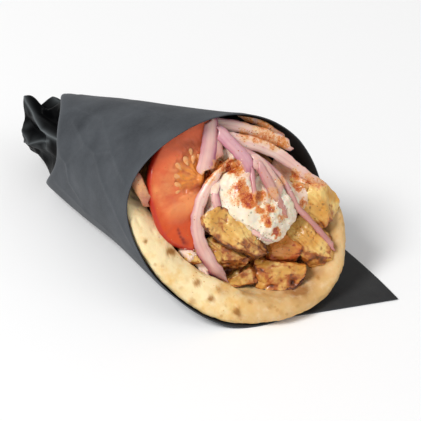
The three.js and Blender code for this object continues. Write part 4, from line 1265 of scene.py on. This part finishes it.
def makeOnionTree():
    tree = Group("onionStrip", "GeometryNodeTree", {
        "Path": "Geometry", "Width": 0.005, "End Width": 0.005, "Thickness": 0.002, "Bow": 0.0005,
        "Roll": 0.0,
        "End Roll": 0.0, "Step": 0.0007, "Tip": 0.0026, "Slant": 0.001, "Point": 0.0, "Fold": 0.0,
        "Purple End": 0.5, "Ragged": 0.0003, "Purple Side": 1.0, "Purple Reach": 0.5, "Lilac": 0.2,
        "Seed": 0.0,
        "Finish": "Material"}, {"Strip": "Geometry"})
    given, times = tree.given, tree.times
    ring = tree.geometry("CurvePrimitiveCircle", {"Resolution": onion["sides"], "Radius": 1.0})
    spot = tree.spot()
    ring = tree.keep(ring, across=spot[0], above=spot[1])
    ring = tree.geometry("SetPosition", {"Geometry": ring, "Position": tree.joined()})
    band = tree.geometry("CurveToMesh", {
        "Curve": preparedPath(tree, given), "Profile Curve": ring, "Fill Caps": True})
    moved = tree.vector("ADD", tree.position(), tree.joined(z=given["Seed"]))

    def uneven(scale):  # noise from -0.5 to 0.5
        return tree.minus(tree.clouds(moved, scale, 2.0)["Fac"], 0.5)

    def squared(value, power):  # turns a round section into one with flat sides
        return times(tree.math("SIGN", value), tree.math("POWER", tree.math("ABSOLUTE", value), power))

    across, rounded = squared(tree.kept("across"), 0.55), tree.kept("rounded")
    late = tree.span(tree.kept("along"), 0.6, 0.88)
    toward = times(across, given["Purple Side"])
    wide = times(across, tree.kept("halfWide"), rounded, tree.timesPlus(uneven(170.0), given["Ragged"], 1.0))
    high = times(squared(tree.kept("above"), 0.35), given["Thickness"], 0.5,
                 tree.timesPlus(rounded, 0.5, 0.5))
    high = tree.minus(high, times(given["Bow"], across, across))
    high = tree.minus(high, times(tree.math("MAXIMUM", toward, 0.0), late, given["Fold"]))
    skew = times(tree.kept("nearEnd"), across, given["Slant"])
    for way, reach in (("sideways", wide), ("outwards", high), ("forward", skew)):
        offset = tree.vector("SCALE", tree.kept(way, "FLOAT_VECTOR"), reach)
        band = tree.geometry("SetPosition", {"Geometry": band, "Offset": offset})
    toward = tree.math("MAXIMUM", toward, times(toward, tree.timesPlus(late, 0.3, -0.6)))
    edge = tree.plus(tree.minus(toward, 1.0), tree.between(given["Purple Reach"], given["Purple End"], late))
    edge = tree.timesPlus(uneven(110.0), 0.8, edge)
    band = tree.keep(band, purple=tree.span(edge, -0.3, 0.5), lilac=given["Lilac"])
    band = tree.geometry("FlipFaces", {"Mesh": band})
    band = tree.geometry("SetShadeSmooth", {"Geometry": band})
    tree.give(Strip=tree.dressed(band))
    return tree


def onionFinish():
    look = Finish("redOnion", onion, Specular_IOR_Level=0.5, Subsurface_Weight=0.25, Subsurface_Scale=0.0018,
                  Coat_Roughness=0.12)
    patch, purple = look.grain["Patch"], look.value("purple")
    lines = look.math("SINE",
                      look.timesPlus(look.noise(90.0, 2.0), 3.0, look.times(look.value("across"), 15.0)))
    flesh = look.mix(look.span(look.noise(55.0), 0.35, 0.65), onion["flesh"], onion["pale"])
    streaked = look.times(look.value("lilac"), look.span(look.noise(80.0, 2.0), 0.3, 0.65, 0.45, 1.25))
    tinged = look.mix(streaked, flesh, onion["lilac"])
    veined = look.mix(look.span(lines, 0.35, 1.0, 0.0, 0.18), tinged, onion["purple"])
    edged = look.mix(purple, veined, onion["purple"])
    edged = look.mix(look.span(purple, 0.75, 1.05, 0.0, 0.6), edged, onion["deep"])
    # juice browning and painted shade
    soak = look.times(look.value("soak"), look.span(patch, 0, 1, 0.6, 1.2))
    colour = look.stained(look.mix(soak, edged, onion["brown"]))
    return look.finish(colour, look.timesPlus(lines, 0.2, look.grain["Height"]),
                       look.span(patch, 0, 1, 0.1, 0.6))


def buildStrip(number, random):
    width, endWidth, roll, endRoll, side, reach, lilac, path = onion["strips"][number - 1]
    line = throughPoints(path, onion["pathSteps"])
    mesh = meshFrom("onionPath", line, edges=[(i, i + 1) for i in range(len(line) - 1)])
    tip, thick, drop, purpleEnd, point = onion["folded"].get(
        number, (random.uniform(*onion["tips"]), onion["thick"], 0.0, reach, 0.0))
    lengths = {
        "Width": width, "End Width": endWidth, "Thickness": thick, "Bow": onion["bow"], "Fold": drop,
        "Tip": tip,
        "Step": onion["fineStep"], "Slant": onion["slant"]}
    strip = grown(mesh, onionTree, {
        **{label: length * mm for label, length in lengths.items()}, "Roll": rad(roll),
        "End Roll": rad(endRoll),
        "Purple End": purpleEnd, "Point": point, "Ragged": onion["ragged"], "Purple Side": side,
        "Purple Reach": reach, "Lilac": lilac, "Seed": onion["seedStep"] * (number - 1), "Finish": onionLook})
    place = pointsOf(strip)
    along = np.zeros(len(place), np.float32)
    strip.attributes["along"].data.foreach_get("value", along)
    # darker further along the strip: painted shade
    keepValues(strip, stain=onion["stain"] * stainAt(place),
               soak=np.clip(onion["soak"].get(number, 0.0) * (0.5 + along), 0, 1))
    setPoints(strip, keptInside(fromOpening(place)))
    return strip


onionTree, onionLook = makeOnionTree(), onionFinish()
onionPieces = []
random = np.random.default_rng(21)
for number in range(1, len(onion["strips"]) + 1):
    name = "onion_%d" % number
    mesh = buildStrip(number, random)
    onionPieces.append(finished("strip_" + name, mesh, [onionLook], "red_onion", [name]))
print("onion made")


# Yogurt sauce with a pool of paprika oil

sauce = {
    "voxel": 0.5, "smoothing": 8, "swirl": [(1.3, 9.0, 90, 2)], "swirlLimits": (-1.8, 1.1), "inset": 0.1,
    "curds": [(0.15, 0.4, 1.7, 33), (0.08, 0.2, 0.9, 14)],  # height, more on the right, size, seed
    "pool": (3.4, 12.6, 5.5, 2.0), "middle": (5.0, 8.0),  # across, up, radius, depth
    "spread": [  # how far it has run, which way, how wide
        (3.6, 160, 30), (2.4, 195, 24), (3.2, 250, 26), (2.6, 105, 30), (4.4, 322, 28)],
    "grain": (150.0, 950.0), "bump": (0.35, 0.0004),
    "white": tint(248, 235, 213), "cream": tint(240, 214, 175), "herb": tint(92, 90, 56),
    "thin": tint(250, 224, 204), "thinCream": tint(236, 190, 160),
}


def buildSauce():
    mesh = fineCopy("yogurt_sauce", sauce["voxel"], sauce["smoothing"])
    place = toOpening(pointsOf(mesh))
    out = place[:, :2] - sauce["middle"]
    away = np.hypot(out[:, 0], out[:, 1])
    push = bulges(np.arctan2(out[:, 1], out[:, 0]), sauce["spread"]) * eased(away, 3, 13)
    place[:, :2] += out / np.maximum(away, 1)[:, None] * push[:, None]
    place[:, 2] -= 0.05 * push
    setPoints(mesh, fromOpening(place))
    points, normals = pointsOf(mesh), normalsOf(mesh)
    pool = spotted(place, [sauce["pool"]])
    curdled = eased(place[:, 0], 6, 14)
    curds = sum((low + more * curdled) * softNoise(place, size, seed) for low, more, size,
                seed in sauce["curds"])
    swirl = layered(place, sauce["swirl"]) + curds * (1 - pool / sauce["pool"][3])
    move = np.clip(swirl, *sauce["swirlLimits"]) - pool - sauce["inset"]
    setPoints(mesh, points + normals * move[:, None])
    keepValues(mesh, stain=stainAt(place))
    return mesh


def sauceFinish(name, white, cream):
    look = Finish(name, sauce, Specular_IOR_Level=0.5, Subsurface_Weight=0.2, Subsurface_Scale=0.0018,
                  Coat_Roughness=0.16)
    base = look.mix(look.span(look.grain["Patch"], 0.3, 1.0, 0.0, 0.7), white, cream)
    flecked = look.mix(look.times(look.specks(480.0, 0.14, 0.3), 0.55), base, sauce["herb"])
    wet = look.span(look.value("stain"), 0.2, 0.8)
    return look.finish(look.stained(flecked), coat=look.span(wet, 0, 1, 0.1, 0.8),
                       roughness=look.span(wet, 0, 1, 0.42, 0.24))


sauceLook = sauceFinish("yogurtSauce", sauce["white"], sauce["cream"])
smearLook = sauceFinish("thinSauce", sauce["thin"], sauce["thinCream"])
saucePiece = finished("yogurt_dollop", buildSauce(), [sauceLook], "yogurt", ["yogurt_sauce"])
print("sauce made")


# Thin sauce that has run between the pieces: each smear is a lens laid on what is under it

smears = {
    "step": 0.6, "soften": 1.8, "rings": 22, "spokes": 96, "edge": 2.5, "thick": 3.5, "ragged": 0.25,
    "swirl": [(0.5, 3.5, 44, 3)],
    "reach": 46.0, "deepest": -30.0, "lowestFace": -32,
    "castFrom": 60.0,  # the map of what is under the sauce
    "places": [  # across, up, half length, half width, turn, height
        (-13.0, 12.0, 10.5, 3.6, 78, 2.2), (10.0, 38.0, 13.0, 3.0, -20, 0.4), (-6.5, 32.0, 5.0, 4.2, 0, 3.2),
        (-10.0, 26.5, 6.0, 4.6, 20, 3.0), (23.5, 24.0, 9.5, 4.0, -40, 2.0), (29.8, 13.0, 9.5, 5.0, -70, 0.9),
        (17.5, 17.0, 9.0, 5.0, -55, 0.4), (3.0, 22.5, 7.5, 4.5, 0, 0.7), (31.5, 19.5, 4.0, 2.8, -40, 0.6),
        (-25.5, -16.0, 6.5, 3.6, -42, 1.4), (-18.6, -22.8, 6.0, 2.6, -48, 2.0),
        (-15.8, 21.0, 4.0, 2.4, 60, 2.6),
        (12.5, 12.0, 6.0, 3.0, -65, 1.2)],
}


def trianglesOf(pieces):  # all the pieces as one list of points in the opening's frame, and triangles
    points, triangles, count = [], [], 0
    for piece in pieces:
        mesh = piece.data
        mesh.calc_loop_triangles()
        corners = np.zeros(len(mesh.loop_triangles) * 3, np.int32)
        mesh.loop_triangles.foreach_get("vertices", corners)
        points.append(toOpening(pointsOf(mesh)))
        triangles.append(corners.reshape(-1, 3) + count)
        count += len(mesh.vertices)
    return np.concatenate(points), np.concatenate(triangles)


def blurred(values, reach):
    weights = bell(np.arange(-3 * reach, 3 * reach + 1) / (1.414 * reach))
    weights = weights / weights.sum()

    def softened(row):
        return np.convolve(np.pad(row, 3 * reach, "edge"), weights, "valid")

    for axis in (0, 1):
        values = np.apply_along_axis(softened, axis, values)
    return values


def facingOut(points, triangles):  # how squarely each triangle faces out of the opening
    edges = points[triangles[:, 1:]] - points[triangles[:, :1]]
    sides = np.cross(edges[:, 0], edges[:, 1])
    return sides[:, 2] / np.maximum(np.linalg.norm(sides, axis=1), 1e-9)


# How far out the filling comes over an even grid. Sauce runs under the slices, so their undersides count.
def heightMap(lumps, slices):
    points, triangles = trianglesOf(lumps + slices)
    count = len(trianglesOf(lumps)[1])
    outward = facingOut(points, triangles) * np.where(np.arange(len(triangles)) < count, 1, -1)
    triangles = triangles[(outward > 0) & (points[triangles[:, 0], 2] > smears["lowestFace"])]
    tree = BVHTree.FromPolygons(points.tolist(), triangles.tolist())
    steps = np.arange(-smears["reach"], smears["reach"] + smears["step"], smears["step"])
    heights = np.full((len(steps), len(steps)), smears["deepest"])
    down = Vector((0, 0, -1))
    for i, x in enumerate(steps):
        for j, y in enumerate(steps):
            spot = tree.ray_cast(Vector((x, y, smears["castFrom"])), down)[0]
            if spot is not None:
                heights[i, j] = max(spot.z, smears["deepest"])
    return steps, heights


def sampled(steps, grid, x, y):
    share = (np.stack([x, y]) - steps[0]) / smears["step"]
    low = np.clip(np.floor(share).astype(int), 0, len(steps) - 2)
    part = share - low
    i, j = low
    near, far = (mixed(grid[i, k], grid[i + 1, k], part[0]) for k in (j, j + 1))
    return mixed(near, far, part[1])


def buildSmears(steps, heights):
    soft = blurred(heights, int(smears["soften"] / smears["step"]))
    ring = np.linspace(0, 1, smears["rings"] + 1)[:, None]
    spoke = np.linspace(0, 2 * math.pi, smears["spokes"], endpoint=False)[None, :]
    size = ring.size * spoke.size
    points, faces, count = [], [], 0
    for x, y, long, wide, turn, height in smears["places"]:
        rim = np.stack([np.cos(spoke) * 2, np.sin(spoke) * 2, 0 * spoke + x], -1)
        ragged = 1 + smears["ragged"] * softNoise(rim, 0.9, 5)
        a, b = ring * long * ragged * np.cos(spoke), ring * wide * ragged * np.sin(spoke)
        way = rad(turn)
        px, py = x + a * math.cos(way) - b * math.sin(way), y + a * math.sin(way) + b * math.cos(way)
        lumps = layered(onPlane(px, py), smears["swirl"])
        top = sampled(steps, soft, px, py) + (height + lumps) * (1 - ring ** 2) - smears["edge"] * ring ** 4
        for z, flip in ((top, False), (top - smears["thick"] * np.sqrt(1 - ring ** 2), True)):
            points.append(fromOpening(np.stack([px, py, z], -1)).reshape(-1, 3))
            faces += gridQuads(ring.size, spoke.size, count, flip, True).tolist()
            count += size
    mesh = welded(meshFrom("yogurt_smears", np.concatenate(points), faces))
    keepValues(mesh, stain=stainAt(toOpening(pointsOf(mesh))))
    return mesh


filling = chickenPieces + [corePiece, saucePiece, pitaPiece]
smearMesh = buildSmears(*heightMap(filling, onionPieces + [tomatoPiece]))
smearPiece = finished("yogurt_smears", smearMesh, [smearLook], "yogurt")
print("smears made")


# Grains scattered over the filling: paprika, herbs, curds and crumbs

grains = {  # density per square millimetre, sizes, flatness, length, seed, slot, colours, roughness, spots
    "paprika_grains": (1.3, 0.25, 0.65, 0.7, 1.2, 3, "yogurt", tint(186, 76, 24), tint(234, 152, 74), 0.5,
                       None),
    "herb_flecks": (0.09, 0.2, 0.45, 0.4, 1.8, 5, "yogurt", tint(96, 84, 40), tint(146, 118, 62), 0.6, [
        (0.0, 2.0, 12.0, 0.8), (-5.5, 13.0, 5.0, 1.2), (12.0, 0.0, 10.0, 0.6), (20.0, -20.0, 22.0, 0.5),
        (-6.0, -10.0, 14.0, 0.5), (38.0, 0.0, 16.0, 0.5), (15.0, 30.0, 14.0, 0.35), (-20.0, 5.0, 10.0, 0.3)]),
    "yogurt_curds": (0.5, 0.35, 0.85, 0.8, 1.1, 9, "yogurt", tint(244, 224, 196), tint(254, 246, 234), 0.4, [
        (16.0, -1.0, 5.5, 1.0), (20.0, 3.0, 3.0, 0.6), (9.5, -1.0, 4.0, 0.5), (29.5, 12.0, 4.0, 0.7),
        (0.0, 24.0, 4.0, 0.6), (-25.0, -17.5, 3.0, 0.9), (18.0, 13.0, 4.0, 0.4)]),
    "toasted_crumbs": (0.4, 0.3, 0.7, 0.7, 1.2, 11, "pita_bread", tint(204, 146, 80), tint(238, 196, 132),
                       0.7, [
        (-12.0, -33.0, 4.5, 1.0), (-7.0, -34.5, 3.5, 1.0), (-16.0, -29.5, 3.5, 0.8), (-22.0, -23.0, 3.0, 0.5),
        (4.0, -34.0, 4.0, 0.4), (34.0, -29.0, 3.5, 0.4), (-27.5, -17.0, 3.0, 0.6)]),
}
scatter = {
    "lowestFace": -26, "squarest": 0.15, "least": 0.002,  # which triangles take grains
    "stainPower": 1.5, "everywhere": 0.012, "spinSeed": 7, "lumps": 2300.0, "lumpSize": 0.7,
}


def makeScatterTree():
    tree = Group("scatterGrains", "GeometryNodeTree", {
        "Surface": "Geometry", "Density": 1e6, "Smallest": 0.0003, "Largest": 0.0008, "Flat": 0.6,
        "Long": 1.3,
        "Seed": 0, "Finish": "Material"}, {"Grains": "Geometry"})
    given = tree.given

    def drawn(low, high, seed):
        return tree.add("FunctionNodeRandomValue", {2: low, 3: high, 8: seed}, data_type="FLOAT")[1]

    spread = tree.add("GeometryNodeDistributePointsOnFaces", {
        "Mesh": given["Surface"], "Density": tree.times(tree.kept("amount"), given["Density"]),
        "Seed": given["Seed"]}, distribute_method="RANDOM")
    size = drawn(given["Smallest"], given["Largest"], given["Seed"])
    about = tree.add("FunctionNodeAxisAngleToRotation", {
        "Axis": (0, 0, 1), "Angle": drawn(0.0, 6.283, scatter["spinSeed"])})[0]
    turned = tree.add("FunctionNodeRotateRotation", {"Rotation": spread["Rotation"], "Rotate By": about},
                      rotation_space="LOCAL")[0]
    put = tree.geometry("InstanceOnPoints", {
        "Points": spread["Points"], "Rotation": turned,
        "Instance": tree.geometry("MeshIcoSphere", {"Radius": 0.5, "Subdivisions": 1}),
        "Scale": tree.joined(x=tree.times(size, given["Long"]), y=size, z=tree.times(size, given["Flat"]))})
    put = tree.geometry("RealizeInstances", {"Geometry": put})
    lumps = tree.clouds(tree.position(), scatter["lumps"], 1.0)["Color"]
    nudge = tree.vector("SCALE", tree.vector("SUBTRACT", lumps, (0.5, 0.5, 0.5)),
                        tree.times(given["Largest"], scatter["lumpSize"]))
    put = tree.geometry("SetPosition", {"Geometry": put, "Offset": nudge})
    tree.give(Grains=tree.geometry("SetMaterial", {"Geometry": put, "Material": given["Finish"]}))
    return tree


def grainFinish(name, dark, light, roughness):
    look = Finish(name, Specular_IOR_Level=0.4)
    tone = look.noise(700.0, 2.0)
    return look.finish(look.mix(look.span(tone, 0.35, 0.65), dark, light),
                       roughness=look.span(tone, 0, 1, roughness - 0.1, roughness + 0.1))


def scatterAmount(place, spots):
    if spots is None:
        return stainAt(place) ** scatter["stainPower"] + scatter["everywhere"]
    return spotted(place, spots) * eased(softNoise(place, 2.6, 18), -0.5, 0.5)


def openTriangles(pieces):  # the part of the pieces that faces out of the opening
    points, triangles = trianglesOf(pieces)
    squarely = facingOut(points, triangles) > scatter["squarest"]
    return points, triangles[squarely & (points[triangles[:, 0], 2] > scatter["lowestFace"])]


def scattered(name, points, triangles):
    density, smallest, largest, flat, long, seed, slot, dark, light, roughness, spots = grains[name]
    kept = triangles[scatterAmount(points[triangles[:, 0]], spots) > scatter["least"]]
    used, back = np.unique(kept, return_inverse=True)
    mesh = meshFrom("under_" + name, fromOpening(points[used]), back.reshape(-1, 3).tolist())
    keepValues(mesh, amount=scatterAmount(points[used], spots))
    look = grainFinish(name + "Look", dark, light, roughness)
    made = grown(mesh, scatterTree, {
        "Density": density * 1e6, "Smallest": smallest * mm, "Largest": largest * mm, "Flat": flat,
        "Long": long,
        "Seed": seed, "Finish": look})
    print(name, len(made.polygons), "faces")
    finished(name, made, [look], slot)


scatterTree = makeScatterTree()
dressedFaces = openTriangles(chickenPieces + onionPieces + [saucePiece, smearPiece, tomatoPiece])
breadFaces = openTriangles([pitaPiece])
for name in grains:
    scattered(name, *(breadFaces if name == "toasted_crumbs" else dressedFaces))
print("grains made")


# Floor, light and camera

studio = {
    "floor": (0.97, 0.97, 0.97, 1.0), "floorSize": 6000.0, "floorDrop": 0.2, "sky": 0.45,
    "lamps": [  # azimuth, elevation, distance, size, power
        (-103.0, 50.0, 3.0, 1.15, 64.0), (20.0, 40.0, 3.0, 2.1, 9.2)],
    "camera": (-42.573, 36.029, 0.856794), "lens": 150.0, "sensor": 36.0,  # azimuth, elevation, distance
    "clip": (0.01, 20.0), "target": Vector((-19.165, -41.396, 46.861)) * mm,
}


def aimed(name, data, azimuth, elevation, distance):  # a lamp or camera that looks at the object
    made = addObject(name, data)
    a, e = rad(azimuth), rad(elevation)
    way = Vector((math.sin(a) * math.cos(e), -math.cos(a) * math.cos(e), math.sin(e)))
    made.location = studio["target"] + way * distance
    made.rotation_mode = "QUATERNION"
    made.rotation_quaternion = way.to_track_quat("Z", "Y")
    return made


def addStudio():
    size = studio["floorSize"]
    corners = [(x * size, y * size, -studio["floorDrop"]) for x, y in ((-1, -1), (1, -1), (1, 1), (-1, 1))]
    mesh = meshFrom("floor", corners, [(0, 1, 2, 3)])
    floor = addObject("floor", mesh)
    look = Finish("paleFloor", Base_Color=studio["floor"], Roughness=0.9, Specular_IOR_Level=0.1)
    mesh.materials.append(look.material)
    world = bpy.data.worlds.new("softRoom")
    world.use_nodes = True
    sky = world.node_tree.nodes["Background"].inputs
    sky["Color"].default_value = (1, 1, 1, 1)
    sky["Strength"].default_value = studio["sky"]
    bpy.context.scene.world = world
    for number, (azimuth, elevation, distance, width, power) in enumerate(studio["lamps"]):
        name = "softbox%d" % number
        data = bpy.data.lights.new(name, "AREA")
        data.size = width
        data.energy = power
        aimed(name, data, azimuth, elevation, distance)


def addCamera():
    data = bpy.data.cameras.new("viewer")
    data.lens = studio["lens"]
    data.sensor_width = studio["sensor"]
    data.clip_start, data.clip_end = studio["clip"]
    bpy.context.scene.camera = aimed("viewer", data, *studio["camera"])


addStudio()
addCamera()
bpy.context.scene.view_settings.view_transform = "Standard"

print("scene ready")
